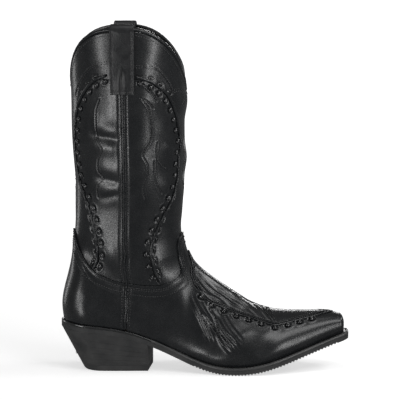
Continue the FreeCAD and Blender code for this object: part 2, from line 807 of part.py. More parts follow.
def insole():
    return prism(plan_outline(level(INSIDE))).common(slab(INSOLE_THICK, 0.0))


def sock_lining():
    return prism(plan_outline(level(INSIDE - .3))).common(
        slab(INSOLE_THICK + .1 + SOCK_THICK, INSOLE_THICK + .1))


RIB_START, RIB_END = -12.0, 138.0


def outsole():
    body = prism(sole_outline()).common(slab(-WELT_BOTTOM - LAYER_GAP, -SOLE_BOTTOM))
    grooves = []
    x = RIB_START
    while x < RIB_END:
        z = FEATHER_Z(x) - SOLE_BOTTOM
        groove = Part.makeBox(RIB_PITCH / 2, 2 * FAR, RIB_DEPTH + 2, V(x, -FAR, z - 2))
        slope = math.degrees(math.atan2(FEATHER_Z(x + 1) - FEATHER_Z(x - 1), 2))
        groove.rotate(V(x, 0, z), V(0, 1, 0), -slope)
        grooves.append(groove)
        x += RIB_PITCH
    return body.cut(Part.makeCompound(grooves))


def heel_block():
    """Tapered heel under the outsole. Each ruling runs straight from sole edge to floor."""
    level_top = 60.0
    loops = []
    seat, floor = [], []
    start, end = -u_of_side_x(HEEL_BREAST_X + BREAST_SKEW), u_of_side_x(HEEL_BREAST_X)
    for i in range(41):
        u = mix(start, end, i / 40)
        p = layer(u, 0.0, EXTENSION(fold(u)) - .1)
        seat.append(p)
        along = (HEEL_BREAST_X - p.x) / (HEEL_BREAST_X - FEATHER_BACK + 2.4)
        x = p.x + HEEL_REAR_SLANT * max(0.0, along)
        floor.append(V(x, p.y * HEEL_BOTTOM_WIDTH / 62.8, 0))
    raised = []
    for top, foot in zip(seat, floor):
        height = FEATHER_Z(top.x) - SOLE_BOTTOM
        raised.append(foot + (V(top.x, top.y, height) - foot) * (level_top / height))
    for points in (floor, raised):
        curve = Part.BSplineCurve()
        curve.interpolate(points)
        loops.append(Part.Wire([curve.toShape(), Part.makeLine(points[-1], points[0])]))
    block = outward(Part.makeLoft(loops, True, True))
    rear = [(top, foot) for top, foot in zip(seat, floor) if abs(top.y) < 6]
    top, foot = min(rear, key=lambda pair: pair[1].x)
    block = block.cut(corner_waste(foot.x, top.x, FEATHER_Z(top.x) - SOLE_BOTTOM))
    return block.cut(slab(40, -SOLE_BOTTOM - LAYER_GAP, -175, 0))


def corner_waste(floor_x, top_x, height):
    """What rounding the lower rear corner takes off, right across the heel."""
    slope = math.atan2(height, floor_x - top_x)
    tangent = HEEL_CORNER / math.tan((math.pi - slope) / 2)
    centre = V(floor_x + tangent, -FAR, HEEL_CORNER)
    on_rear = V(floor_x - tangent * math.cos(slope), -FAR, tangent * math.sin(slope))
    on_floor = V(floor_x + tangent, -FAR, 0)
    beyond = V(floor_x - HEEL_CORNER, -FAR, -1)
    waste = Part.Face(Part.makePolygon([on_rear, centre, on_floor, V(on_floor.x, -FAR, -1), beyond, on_rear]))
    waste = waste.extrude(V(0, 2 * FAR, 0))
    return waste.cut(Part.makeCylinder(HEEL_CORNER, 2 * FAR, centre, V(0, 1, 0)))


def heel_slice(block, index):
    """Lift number index of the stack. The lifts fan from level to the slope of the sole."""
    breast_top = FEATHER_Z(HEEL_BREAST_X) - SOLE_BOTTOM
    rear_top = FEATHER_Z(-152.0) - SOLE_BOTTOM
    corners = []
    for k, gap in ((index, LAYER_GAP / 2), (index + 1, -LAYER_GAP / 2)):
        part_up = k / HEEL_LIFTS
        extra = 30 if k == HEEL_LIFTS else 0
        corners.append((mix(HEEL_CAP_THICK, breast_top, part_up) + gap + extra,
                        mix(HEEL_CAP_THICK, rear_top, part_up) + gap + extra))
    slope_low = (corners[0][1] - corners[0][0]) / (-152.0 - HEEL_BREAST_X)
    slope_high = (corners[1][1] - corners[1][0]) / (-152.0 - HEEL_BREAST_X)
    points = []
    for x, (base, slope) in ((-175, (corners[0][0], slope_low)), (-30, (corners[0][0], slope_low)),
                             (-30, (corners[1][0], slope_high)), (-175, (corners[1][0], slope_high))):
        points.append(V(x, -FAR, base + slope * (x - HEEL_BREAST_X)))
    wedge = Part.Face(Part.makePolygon(points + [points[0]])).extrude(V(0, 2 * FAR, 0))
    return block.common(wedge)


def heel_cap(block):
    return block.common(Part.makeBox(200, 2 * FAR, HEEL_CAP_THICK - LAYER_GAP / 2, V(-175, -FAR, 0)))


NAIL_PLACES = [(-137, 0), (-125, 17), (-125, -17), (-100, 19), (-100, -19), (-76, 17), (-76, -17)]


def nail(x, y, radius, top_gap):
    top = FEATHER_Z(x) + INSOLE_THICK - top_gap
    return Part.makeCylinder(radius, top - 14.0, V(x, y, 14.0 - (radius - NAIL_RADIUS)))


def heel_nails():
    return Part.makeCompound([nail(x, y, NAIL_RADIUS, .3) for x, y in NAIL_PLACES])


def nail_holes():
    return Part.makeCompound([nail(x, y, NAIL_RADIUS + .1, -3) for x, y in NAIL_PLACES])


def welt_stitching():
    """Short raised stitches on the welt, from waist to waist round the toe."""
    stitches, travelled = [], 0.0
    steps = 1600
    last = None
    for i in range(steps + 1):
        u = mix(.30, .70, i / steps)
        p = layer(u, 0.0, EXTENSION(fold(u)) - 2.1)
        p.z = FEATHER_Z(p.x) - SOLE_TOP_DROP + .45
        if last is not None:
            travelled += (p - last).Length
            if travelled >= STITCH_PITCH:
                travelled -= STITCH_PITCH
                run = (p - last).normalize()
                stitches.append(Part.makeCylinder(.42, STITCH_PITCH * .68, p, run))
        last = p
    return Part.makeCompound(stitches)


# ---- assembly -----------------------------------------------------------------------------
def all_parts():
    holes = nail_holes()
    block = heel_block()
    parts = {
        "shaft_front_panel": shaft_front(BASE),
        "shaft_back_panel": shaft_back(BASE, counter_tucked),
        "shaft_front_lining": shaft_front(LINING),
        "shaft_back_lining": shaft_back(LINING, level(0.0)),
        "vamp": vamp(),
        "vamp_lining": vamp_lining(),
        "vamp_plug": vamp_plug(),
        "plug_cord_outer": plug_cord(False),
        "plug_cord_inner": plug_cord(True),
        "vamp_lacing": vamp_lacing(),
        "toe_box": toe_box(),
        "counter_cover": counter_cover(),
        "counter_stiffener": counter_stiffener(),
        "top_binding": top_binding(),
    }
    for side, inner in (("outer", False), ("inner", True)):
        parts["side_piping_" + side] = side_piping(inner)
        parts["pull_strap_" + side] = pull_strap(inner)
        parts["arch_lacing_" + side] = arch_lacing(inner)
        for end, front in (("front", True), ("back", False)):
            parts["arch_overlay_%s_%s" % (side, end)] = arch_overlay(front, inner)
            parts["arch_cord_%s_%s" % (side, end)] = arch_cord(front, inner)
    parts["insole"] = insole().cut(holes)
    parts["sock_lining"] = sock_lining()
    parts["shank"] = shank()
    parts["cork_filler"] = cork_filler().cut(holes)
    parts["welt"] = welt()
    parts["heel_rand"] = heel_rand()
    parts["welt_stitching"] = welt_stitching()
    parts["outsole"] = outsole().cut(holes)
    for index in range(HEEL_LIFTS):
        parts["heel_lift_%d" % (index + 1)] = heel_slice(block, index).cut(holes)
    parts["heel_cap"] = heel_cap(block)
    parts["heel_nails"] = heel_nails()
    return parts


def centre_on_floor(parts):
    """Moves every part so that the whole boot stands centred on the origin."""
    box = FreeCAD.BoundBox()
    for shape in parts.values():
        box.add(shape.optimalBoundingBox(False))
    shift = V(-(box.XMin + box.XMax) / 2, -(box.YMin + box.YMax) / 2, -box.ZMin)
    for shape in parts.values():
        shape.translate(shift)
    return shift, box


def main():
    os.makedirs("parts", exist_ok=True)
    parts = all_parts()
    shift, box = centre_on_floor(parts)
    for name, shape in parts.items():
        shape.exportStep("parts/" + name + ".step")
    print("shift", shift, "size", box.XLength, box.YLength, box.ZLength)


if __name__ == "__main__":
    main()
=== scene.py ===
import math

import bpy
import numpy as np
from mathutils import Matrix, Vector


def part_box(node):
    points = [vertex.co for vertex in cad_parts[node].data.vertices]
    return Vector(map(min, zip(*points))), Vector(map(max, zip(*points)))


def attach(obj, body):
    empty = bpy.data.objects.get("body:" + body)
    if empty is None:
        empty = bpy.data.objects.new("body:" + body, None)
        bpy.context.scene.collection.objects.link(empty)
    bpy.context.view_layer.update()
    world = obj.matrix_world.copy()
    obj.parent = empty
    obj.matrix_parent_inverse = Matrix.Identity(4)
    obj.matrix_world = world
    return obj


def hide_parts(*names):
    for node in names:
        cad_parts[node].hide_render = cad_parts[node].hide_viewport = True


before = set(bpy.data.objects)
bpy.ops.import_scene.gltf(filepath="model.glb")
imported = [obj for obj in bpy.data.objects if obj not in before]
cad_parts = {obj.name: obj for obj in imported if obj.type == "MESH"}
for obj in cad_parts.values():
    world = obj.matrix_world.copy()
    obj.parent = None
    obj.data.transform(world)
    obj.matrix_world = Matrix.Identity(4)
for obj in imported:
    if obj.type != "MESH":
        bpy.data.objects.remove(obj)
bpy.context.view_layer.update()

MM = .001

# ---- the skin of the boot, the same surface as the CAD source, in millimetres --------------
SEAM_U = .238
COVER, BASE, LINING, PLUG = (-1.5, 0.0), (-3.1, -1.6), (-4.4, -3.2), (.1, 1.3)


class Curve:
    """A C2 natural cubic through (parameter, value) pairs, straight outside its ends."""

    def __init__(self, pairs):
        self.t, self.y = np.array(pairs, float).T
        n = len(self.t)
        h = np.diff(self.t)
        a = np.eye(n)
        r = np.zeros(n)
        for i in range(1, n - 1):
            a[i, i - 1:i + 2] = h[i - 1], 2 * (h[i - 1] + h[i]), h[i]
            r[i] = 6 * ((self.y[i + 1] - self.y[i]) / h[i] - (self.y[i] - self.y[i - 1]) / h[i - 1])
        self.m, self.h = np.linalg.solve(a, r), h

    def __call__(self, t):
        t = np.asarray(t, float)
        c = np.clip(t, self.t[0], self.t[-1])
        i = np.clip(np.searchsorted(self.t, c) - 1, 0, len(self.h) - 1)
        h, p, q = self.h[i], self.t[i + 1] - c, c - self.t[i]
        value = (p ** 3 * self.m[i] + q ** 3 * self.m[i + 1]) / (6 * h)
        value += (self.y[i] / h - h * self.m[i] / 6) * p + (self.y[i + 1] / h - h * self.m[i + 1] / 6) * q
        first = (self.y[1] - self.y[0]) / self.h[0] - self.h[0] * self.m[1] / 6
        last = (self.y[-1] - self.y[-2]) / self.h[-1] + self.h[-1] * self.m[-2] / 6
        return value + np.minimum(t - self.t[0], 0) * first + np.maximum(t - self.t[-1], 0) * last


class Monotone:
    """A cubic through (parameter, value) pairs that never overshoots them, flat outside."""

    def __init__(self, pairs):
        self.t, self.y = np.array(pairs, float).T
        d = np.diff(self.y) / np.diff(self.t)
        self.s = np.concatenate([d[:1], np.zeros(len(d) - 1), d[-1:]])
        for i in range(1, len(d)):
            if d[i - 1] * d[i] > 0:
                self.s[i] = 2 * d[i - 1] * d[i] / (d[i - 1] + d[i])

    def __call__(self, t):
        t = np.clip(t, self.t[0], self.t[-1])
        i = np.clip(np.searchsorted(self.t, t) - 1, 0, len(self.t) - 2)
        h = self.t[i + 1] - self.t[i]
        k = (t - self.t[i]) / h
        return ((1 + 2 * k) * (1 - k) ** 2 * self.y[i] + k * (1 - k) ** 2 * h * self.s[i]
                + k * k * (3 - 2 * k) * self.y[i + 1] + k * k * (k - 1) * h * self.s[i + 1])


def smooth(t):
    t = np.clip(t, 0, 1)
    return t * t * (3 - 2 * t)


def mix(a, b, t):
    return a + (b - a) * t


FEATHER_BACK, FEATHER_FRONT = -150.4, 146.3
FEATHER_Z = Curve([(-153, 53), (-120, 48.8), (-83, 43.2), (-50, 31.6), (-20, 18.4), (5, 9.9),
                   (30, 7.6), (55, 9.8), (80, 16.0), (110, 26.2), (152, 40.6)])
BACK_X = Curve([(0, -150.4), (.06, -151.9), (.13, -151.0), (.23, -147.0), (.35, -142.0),
                (.46, -139.6), (.58, -138.2), (.65, -138.6), (.75, -140.0), (.85, -142.0), (1, -146.2)])
BACK_Z = Curve([(0, 52.7), (.06, 66), (.13, 79), (.23, 96), (.35, 117.7), (.46, 140),
                (.58, 173), (.65, 199), (.75, 238), (.85, 283), (1, 376)])
FRONT_X = Curve([(0, 146.3), (.04, 146.7), (.075, 145.4), (.10, 141), (.14, 127), (.19, 104),
                 (.25, 74), (.30, 52), (.35, 32), (.41, 7.4), (.46, -11.0), (.52, -22.2),
                 (.58, -23.9), (.65, -21.6), (.75, -20.6), (.85, -19.4), (1, -16.4)])
FRONT_Z = Curve([(0, 38.7), (.04, 47), (.075, 54.3), (.10, 58), (.14, 59.7), (.19, 59.9),
                 (.25, 60.8), (.30, 66.5), (.35, 78.5), (.41, 95.6), (.46, 111), (.52, 135.9),
                 (.58, 162), (.65, 194), (.75, 238), (.85, 283), (1, 376)])
SIDE_OUTER = Curve([(-151, 29), (-125, 29.2), (-95, 29.4), (-60, 28.6), (-30, 31), (0, 39), (25, 45),
                    (45, 46), (70, 41), (95, 30.6), (120, 20.4), (140, 13), (147, 10.8)])
SIDE_INNER = Curve([(-151, 29), (-125, 29.2), (-95, 29), (-60, 26.6), (-30, 27.4), (0, 35), (25, 41.5),
                    (45, 43.5), (70, 40.6), (95, 31.4), (120, 21), (140, 13), (147, 10.8)])
SHAFT_HALF_WIDTH = Curve([(0, 33), (.29, 34), (.41, 35.4), (.52, 38.6), (.58, 41.4), (.65, 45.4),
                          (.75, 51.2), (.85, 55.6), (1, 58)])
FULLNESS = Monotone([(-40, 1.5), (0, 1.6), (50, 2.0), (100, 2.6), (125, 3.2), (147, 4.0)])
HEEL_END, HEEL_ROUND = .11, 27.0
TOE_END, TOE_ROUND = .46, 4.0
SIDE_RUN = Monotone([(HEEL_END, FEATHER_BACK + HEEL_ROUND), (SEAM_U, -84), (.29, -44), (.34, 6),
                     (.38, 51), (.42, 97), (TOE_END, FEATHER_FRONT - TOE_ROUND)])
BULGE, BULGE_HEIGHT = 3.2, 14.0
CREST_V = .10 + .5 * np.arange(500) / 500
CREST_X = np.linspace(-90, 150, 481)
CREST_Z = np.interp(CREST_X, FRONT_X(CREST_V)[::-1], FRONT_Z(CREST_V)[::-1])
CREST_Z += 12 * np.maximum(FRONT_X(CREST_V)[-1] - CREST_X, 0)
EASE = np.exp(-(np.arange(-24, 25) / 10) ** 2)
CREST_Z[24:-24] = np.convolve(CREST_Z, EASE / EASE.sum(), "valid")


def crest_z(x):
    return np.interp(x, CREST_X, CREST_Z) + 12 * np.maximum(CREST_X[0] - x, 0)


def fold(u):
    u = np.mod(u, 1.0)
    return np.minimum(u, 1 - u)


def skin(u, v):
    """Points (..., 3) of the boot's outer skin at (u, v), in mm."""
    u, v = np.broadcast_arrays(np.mod(np.asarray(u, float), 1.0), np.asarray(v, float))
    outer = u <= .5
    h = np.where(outer, u, 1 - u)
    turn = 2 * np.pi * h
    heel_turn = np.pi / 2 * np.minimum(h, HEEL_END) / HEEL_END
    toe_turn = np.pi / 2 * np.clip((.5 - h) / (.5 - TOE_END), 0, 1)
    edge_x = np.where(h < HEEL_END, FEATHER_BACK + HEEL_ROUND * (1 - np.cos(heel_turn)),
                      np.where(h > TOE_END, FEATHER_FRONT - TOE_ROUND * (1 - np.cos(toe_turn)) ** 2,
                               SIDE_RUN(h)))
    share = np.where(h < HEEL_END, np.sin(heel_turn), np.where(h > TOE_END, np.sin(toe_turn), 1.0))
    along_foot = (edge_x - FEATHER_BACK) / (FEATHER_FRONT - FEATHER_BACK)
    roundness = np.minimum(1.0, (v / .5) ** 2)
    lam = mix(along_foot, (1 - np.cos(turn)) / 2, roundness)
    x = mix(BACK_X(v), FRONT_X(v), lam)
    straight_x = mix(FEATHER_BACK, FEATHER_FRONT, lam)
    sag = FEATHER_Z(straight_x) - mix(FEATHER_Z(FEATHER_BACK), FEATHER_Z(FEATHER_FRONT), lam)
    z = mix(BACK_Z(v), FRONT_Z(v), lam) + np.maximum(0, 1 - v) * sag
    base = FEATHER_Z(x)
    rise = np.maximum(0, z - base)
    climb = np.minimum(1, rise / np.maximum(1, crest_z(x) - base))
    side_x = np.clip(x, -151.0, 147.0)
    side = np.where(outer, SIDE_OUTER(side_x), SIDE_INNER(side_x))
    side = side + BULGE * rise / BULGE_HEIGHT * np.exp(1 - rise / BULGE_HEIGHT)
    foot = side * np.sqrt(np.maximum(0, 1 - climb ** FULLNESS(x)))
    blunt = 1 - smooth((v - .05) / .07)
    toe = share ** blunt * np.tanh((.5 - h) / .004)
    foot = foot * np.where(h > TOE_END, toe, share)
    y = mix(foot, SHAFT_HALF_WIDTH(v) * np.sin(turn), smooth((v - .16) / .36))
    return np.stack([x, np.where(outer, -y, y), z], -1)


NORMAL_DU, NORMAL_DV = .015, .025


def unit(a):
    return a / np.maximum(np.linalg.norm(a, axis=-1, keepdims=True), 1e-12)


def normal(u, v):
    """Outward direction along which the layers are stacked, level near the feather edge."""
    u, v = np.broadcast_arrays(np.asarray(u, float), np.asarray(v, float))
    along = skin(u + NORMAL_DU, v) - skin(u - NORMAL_DU, v)
    up = skin(u, v + NORMAL_DV) - skin(u, np.maximum(0, v - NORMAL_DV))
    n = np.cross(along, up)
    n[..., 2] *= smooth(v / .06)
    return unit(n)


def u_shift(u, v, distance):
    step = .002
    return u + distance * 2 * step / np.linalg.norm(skin(u + step, v) - skin(u - step, v), axis=-1)


def v_at_height(u, z):
    low, high = np.zeros(np.shape(z)), np.full(np.shape(z), 1.05)
    for _ in range(26):
        mid = (low + high) / 2
        below = skin(u, mid)[..., 2] < z
        low, high = np.where(below, mid, low), np.where(below, high, mid)
    return (low + high) / 2


VAMP_TOP = Monotone([(SEAM_U, .361), (.288, .418), (.332, .431), (.368, .440), (.393, .449),
                     (.407, .464), (.413, .490), (.419, .516), (.432, .530), (.462, .538), (.5, .541)])
COUNTER_TOP = Monotone([(0, .497), (.015, .494), (.054, .456), (.083, .406), (.125, .342),
                        (.154, .324), (.194, .322), (SEAM_U, .352)])
ARCH_FRONT = Monotone([(.38, .333), (.441, .326), (.475, .318), (.513, .310), (.556, .323),
                       (.598, .351), (.644, .390), (.696, .417), (.759, .425), (.815, .408),
                       (.863, .373), (.895, .316), (.905, .271)])
ARCH_BACK = Monotone([(.30, .128), (.349, .140), (.40, .154), (.446, .159), (.514, .152),
                      (.582, .133), (.625, .107), (.676, .078), (.741, .068), (.804, .076),
                      (.844, .092), (.873, .124), (.894, .163), (.903, .196)])
PLUG_HALF_WIDTH = Monotone([(.118, .003), (.130, .022), (.142, .040), (.155, .052), (.168, .067),
                            (.18, .077), (.223, .072), (.275, .067), (.323, .078), (.366, .094),
                            (.408, .089), (.443, .072), (.473, .024), (.495, .003)])
PLUG_LOW, PLUG_HIGH = .118, .495
SHAFT_SIDE_TOP, DIP_FRONT, DIP_BACK, TOP_ROUND = 357.9, 64.0, 56.0, .12


def top_height(u):
    s = np.abs(np.sin(2 * np.pi * u))
    s = (np.hypot(s, TOP_ROUND) - TOP_ROUND) / (math.hypot(1, TOP_ROUND) - TOP_ROUND)
    front = (np.mod(u, 1) > .25) & (np.mod(u, 1) < .75)
    return np.where(front, SHAFT_SIDE_TOP - DIP_FRONT * (1 - s) ** 1.05,
                    SHAFT_SIDE_TOP - DIP_BACK * (1 - s) ** 1.5)


TOP_U = np.arange(101) / 200
TOP_TABLE = Curve(np.stack([TOP_U, v_at_height(TOP_U, top_height(TOP_U))], 1))


def top_v(u):
    return TOP_TABLE(fold(u))


# the CAD moves the boot so that it stands centred on the origin
SHIFT = np.array([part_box("outsole")[0].x / MM - (FEATHER_BACK - 2.4), 0.0, .008])

# ---- lines in side view (x, z), the same on both sides -------------------------------------
CREASES = [          # points of a crease, its depth and its half width in mm
    ([(-14, 81), (-9, 70), (-3, 57), (4, 44), (8, 33)], .8, 1.3),
    ([(-9, 74), (-3, 62), (6, 51), (13, 41), (18, 32), (26, 23)], .9, 1.35),
    ([(-2, 76), (3, 67), (9, 58), (16, 42), (23, 34), (33, 23)], .9, 1.35),
    ([(8, 64), (14, 54), (21, 44), (27, 38), (37, 27)], .6, 1.3),
    ([(20, 61), (26, 51), (33, 43), (39, 36)], .35, 1.4),
    ([(-13, 68), (-7, 56), (-1, 44), (3, 36)], .5, 1.3),
    ([(-13, 94), (-6, 86), (4, 79), (15, 72), (26, 64)], .6, 1.3),
    ([(-15, 104), (-8, 93), (1, 83), (12, 76), (24, 67)], .5, 1.3),
    ([(-8, 102), (1, 90), (14, 80), (27, 71), (41, 63)], .5, 1.3),
    ([(8, 88), (20, 80), (33, 72), (47, 62), (58, 53)], .4, 1.3),
    ([(36, 75), (47, 69), (57, 61), (66, 52)], .45, 1.2),
    ([(-121, 252), (-106, 249), (-87, 246)], .9, 7.0),
    ([(-117, 209), (-102, 205), (-87, 202)], .7, 7.0),
    ([(-112, 183), (-100, 187), (-88, 190)], .3, 4.5),
    ([(-40, 292), (-33, 284), (-28, 270)], .5, 3.4),
    ([(-38, 246), (-32, 238), (-27, 226)], .5, 3.2),
    ([(-40, 206), (-34, 200), (-28, 190)], .4, 3.0),
]
SHAFT_LINES = [      # single rows of decorative stitching on the arch overlays
    [(-110, 288), (-114, 276), (-114, 267), (-113, 254), (-110, 243), (-107, 236), (-110, 229),
     (-112, 219), (-109, 210), (-106, 207), (-110, 201), (-113, 193), (-112, 185)],
    [(-65, 288), (-59, 280), (-56, 267), (-55, 253), (-59, 241), (-65, 231), (-61, 223),
     (-60, 212), (-65, 198), (-63, 185)],
    [(-49, 243), (-50, 229), (-46, 220), (-41, 216)],
    [(-53, 224), (-53, 214), (-51, 200), (-46, 190)],
    [(-70, 307), (-60, 301), (-54, 294), (-50, 286)],
    [(-67, 290), (-59, 286), (-53, 279)],
]
PANEL_LINES = [      # on the shaft panels, outside the arch
    [(-100, 325), (-112, 323), (-121, 318), (-129, 308), (-134, 299), (-136, 291)],
    [(-75, 324), (-65, 323), (-53, 322), (-44, 315), (-38, 307), (-34, 297)],
    [(-36, 289), (-34, 296), (-28, 298), (-23, 294), (-22, 287), (-24, 279)],
]
PLUG_LINES = [       # on the vamp plug
    [(27, 82), (41, 77), (51, 70), (60, 63), (70, 53)],
    [(41, 79), (56, 70), (66, 61), (72, 54)],
    [(58, 67), (66, 62), (70, 56)],
]


def spline(points, step):
    """Even points along a smooth line through points of any dimension."""
    p = np.array(points, float)
    t = np.concatenate([[0], np.cumsum(np.linalg.norm(np.diff(p, axis=0), axis=1))])
    fine = np.linspace(0, t[-1], max(8, int(t[-1] / step) * 4))
    q = np.stack([Curve(np.stack([t, p[:, k]], 1))(fine) for k in range(p.shape[1])], 1)
    return resample(q, step)[0]


def resample(points, step):
    """Points at an even step along a polyline, and the fractional index of each."""
    length = np.concatenate([[0], np.cumsum(np.linalg.norm(np.diff(points, axis=0), axis=1))])
    count = max(2, int(round(length[-1] / step)) + 1)
    at = np.linspace(0, length[-1], count)
    index = np.interp(at, length, np.arange(len(points)))
    return np.stack([np.interp(index, np.arange(len(points)), points[:, k])
                     for k in range(points.shape[1])], 1), index


def line_distance(x, z, line):
    """Signed distance from (x, z) to a polyline, and the share along it."""
    best = np.full(x.shape, 1e9)
    signed, share = np.zeros(x.shape), np.zeros(x.shape)
    for i in range(len(line) - 1):
        a, b = line[i], line[i + 1]
        d = b - a
        k = np.clip(((x - a[0]) * d[0] + (z - a[1]) * d[1]) / (d @ d), 0, 1)
        dx, dz = x - a[0] - k * d[0], z - a[1] - k * d[1]
        dist = np.hypot(dx, dz)
        near = dist < best
        best = np.where(near, dist, best)
        signed = np.where(near, np.sign(d[0] * dz - d[1] * dx) * dist, signed)
        share = np.where(near, (i + k) / (len(line) - 1), share)
    return signed, share


RELIEF_LINES = [(spline(line, 2.0), depth, width) for line, depth, width in CREASES]


def folds(p):
    """How far the leather of every layer stands in or out at points p, in mm."""
    x, y, z = p[..., 0], p[..., 1], p[..., 2]
    side = np.sign(y)
    d = np.zeros(x.shape)
    lean = np.where(side > 0, 2.0, 0.0)
    for line, depth, width in RELIEF_LINES:
        reach = 5 * width
        near = ((x + lean > line[:, 0].min() - reach) & (x + lean < line[:, 0].max() + reach)
                & (z > line[:, 1].min() - reach) & (z < line[:, 1].max() + reach))
        if not near.any():
            continue
        s, k = line_distance(x[near] + lean[near], z[near], line)
        taper = np.clip(np.minimum(k, 1 - k) * 4, 0, 1) ** .7
        groove = -np.exp(-(s / width * 1.5) ** 2) + .75 * np.exp(-((np.abs(s) - 1.5 * width) / width) ** 2)
        d[near] += depth * taper * groove
    across = np.clip(np.abs(y) / 12, 0, 1)
    shaft = smooth((z - 120) / 60) * smooth((345 - z) / 40)
    d += shaft * (.7 * np.sin(x / 11.5 + z / 95 + side) + .7 * np.sin(z / 17 + x / 31 + 2 * side)
                  + .3 * np.sin(x / 6.1 - z / 60 + 1.7 * side))
    d += shaft * smooth((x + 56) / 22) * (.75 * np.sin(z / 8.5 + y / 17) + .3 * np.sin(z / 4.9 - y / 9))
    ankle = np.exp(-((z - 118) / 34) ** 2) * across
    d += ankle * (.55 * np.sin((x + .55 * z) / 6.5) + .35 * np.sin((x - .9 * z) / 8.5 + 1))
    vamp = smooth((x + 25) / 40) * smooth((95 - x) / 30)
    d += vamp * across * (.25 * np.sin(x / 7 + z / 9) + .2 * np.sin(x / 4.1 - z / 5 + .6))
    return d * smooth((z - FEATHER_Z(x) - 3) / 12)


def place_at(u, v, distance, extra=0.0):
    """Points of a layer that follows the folds of the leather, in mm, and its normals."""
    p, n = skin(u, v), normal(u, v)
    return p + n * (distance + extra + folds(p))[..., None], n


# ---- looking up (u, v) of side-view points, and stepping sideways along the leather --------
GRID_U, GRID_V = np.meshgrid(np.linspace(.01, .49, 160), np.linspace(.02, 1, 200), indexing="ij")
GRID_P = skin(GRID_U, GRID_V)


def side_uv(points):
    """(u, v) on the outer side for side-view points (x, z)."""
    points = np.asarray(points, float)
    flat = GRID_P[..., [0, 2]].reshape(-1, 2)
    u, v = np.empty(len(points)), np.empty(len(points))
    for i, q in enumerate(points):
        k = np.argmin(((flat - q) ** 2).sum(1))
        u[i], v[i] = GRID_U.flat[k], GRID_V.flat[k]
    for _ in range(4):
        e = 1e-4
        p = skin(u, v)[:, [0, 2]]
        a, b = (skin(u + e, v)[:, [0, 2]] - p) / e, (skin(u, v + e)[:, [0, 2]] - p) / e
        r = points - p
        det = a[:, 0] * b[:, 1] - a[:, 1] * b[:, 0]
        det = np.where(np.abs(det) < 1e-3, 1e9, det)
        u = np.clip(u + np.clip((r[:, 0] * b[:, 1] - r[:, 1] * b[:, 0]) / det, -.01, .01), .005, .4995)
        v = v + np.clip((a[:, 0] * r[:, 1] - a[:, 1] * r[:, 0]) / det, -.01, .01)
    return u, v


def tangents(u, v):
    e = 5e-4
    return (skin(u + e, v) - skin(u - e, v)) / (2 * e), (skin(u, v + e) - skin(u, v - e)) / (2 * e)


def sideways(u, v, distance):
    """The path (u, v) moved by a distance in mm to its right, seen from outside."""
    steps = max(1, int(abs(distance) / .6))
    for _ in range(steps):
        run = unit(np.gradient(skin(u, v), axis=0))
        across = unit(np.cross(run, normal(u, v))) * distance / steps
        a, b = tangents(u, v)
        aa, bb, ab = (a * a).sum(-1), (b * b).sum(-1), (a * b).sum(-1)
        wa, wb = (across * a).sum(-1), (across * b).sum(-1)
        det = aa * bb - ab * ab
        u, v = u + (wa * bb - wb * ab) / det, v + (wb * aa - wa * ab) / det
    return u, v


def even_path(u, v, step):
    """The path (u, v) resampled at an even step in mm."""
    p = skin(u, v)
    _, index = resample(p, step)
    return np.interp(index, np.arange(len(u)), u), np.interp(index, np.arange(len(u)), v)


# ---- meshes --------------------------------------------------------------------------------
def add_object(name, data):
    o = bpy.data.objects.new(name, data)
    bpy.context.scene.collection.objects.link(o)
    return o


class Piece:
    """Collects points in mm and faces, and becomes one Blender mesh."""

    def __init__(self, name):
        self.name, self.points, self.quads, self.finish_of, self.count = name, [], [], [], 0

    def add(self, points, quads, finish=0):
        points, quads = np.asarray(points, float).reshape(-1, 3), np.asarray(quads, int).reshape(-1, 4)
        self.points.append(points)
        self.quads.append(quads + self.count)
        self.finish_of.append(np.full(len(quads), finish))
        self.count += len(points)

    def build(self, finishes, nodes, sharp=50):
        points = (np.concatenate(self.points) + SHIFT) * MM
        quads, finish = np.concatenate(self.quads), np.concatenate(self.finish_of)
        three = quads[:, 3] == quads[:, 2]
        sizes = np.where(three, 3, 4)
        keep = np.ones(quads.shape, bool)
        keep[three, 3] = False
        loops = quads[keep]
        mesh = bpy.data.meshes.new(self.name)
        mesh.vertices.add(len(points))
        mesh.vertices.foreach_set("co", points.astype(np.float32).ravel())
        mesh.loops.add(len(loops))
        mesh.loops.foreach_set("vertex_index", loops.astype(np.int32))
        mesh.polygons.add(len(quads))
        mesh.polygons.foreach_set("loop_start", (np.cumsum(sizes) - sizes).astype(np.int32))
        mesh.polygons.foreach_set("loop_total", sizes.astype(np.int32))
        for material in finishes:
            mesh.materials.append(material)
        mesh.polygons.foreach_set("material_index", finish.astype(np.int32))
        mesh.polygons.foreach_set("use_smooth", np.ones(len(quads), bool))
        mesh.update(calc_edges=True)
        mesh.validate()
        mesh.set_sharp_from_angle(angle=math.radians(sharp))
        o = add_object(self.name, mesh)
        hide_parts(*nodes)
        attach(o, "root")


def grid_quads(rows, columns, start=0, flip=False, wrap=False):
    i, j = np.meshgrid(np.arange(rows - 1), np.arange(columns if wrap else columns - 1), indexing="ij")
    k = (j + 1) % columns
    q = np.stack([i * columns + j, (i + 1) * columns + j, (i + 1) * columns + k, i * columns + k], -1)
    q = q.reshape(-1, 4) + start
    return q[:, ::-1] if flip else q


def rim_quads(loop, start_a, start_b, flip=False):
    a, b = loop, np.roll(loop, -1)
    q = np.stack([a + start_a, b + start_a, b + start_b, a + start_b], -1)
    return q[:, ::-1] if flip else q


def fan(ring, tip, flip=False):
    """Triangles from a closed ring of point numbers to one tip."""
    pair = [ring, np.roll(ring, -1)]
    tips = np.full(len(ring), tip)
    return np.stack((pair[::-1] if flip else pair) + [tips, tips], 1)


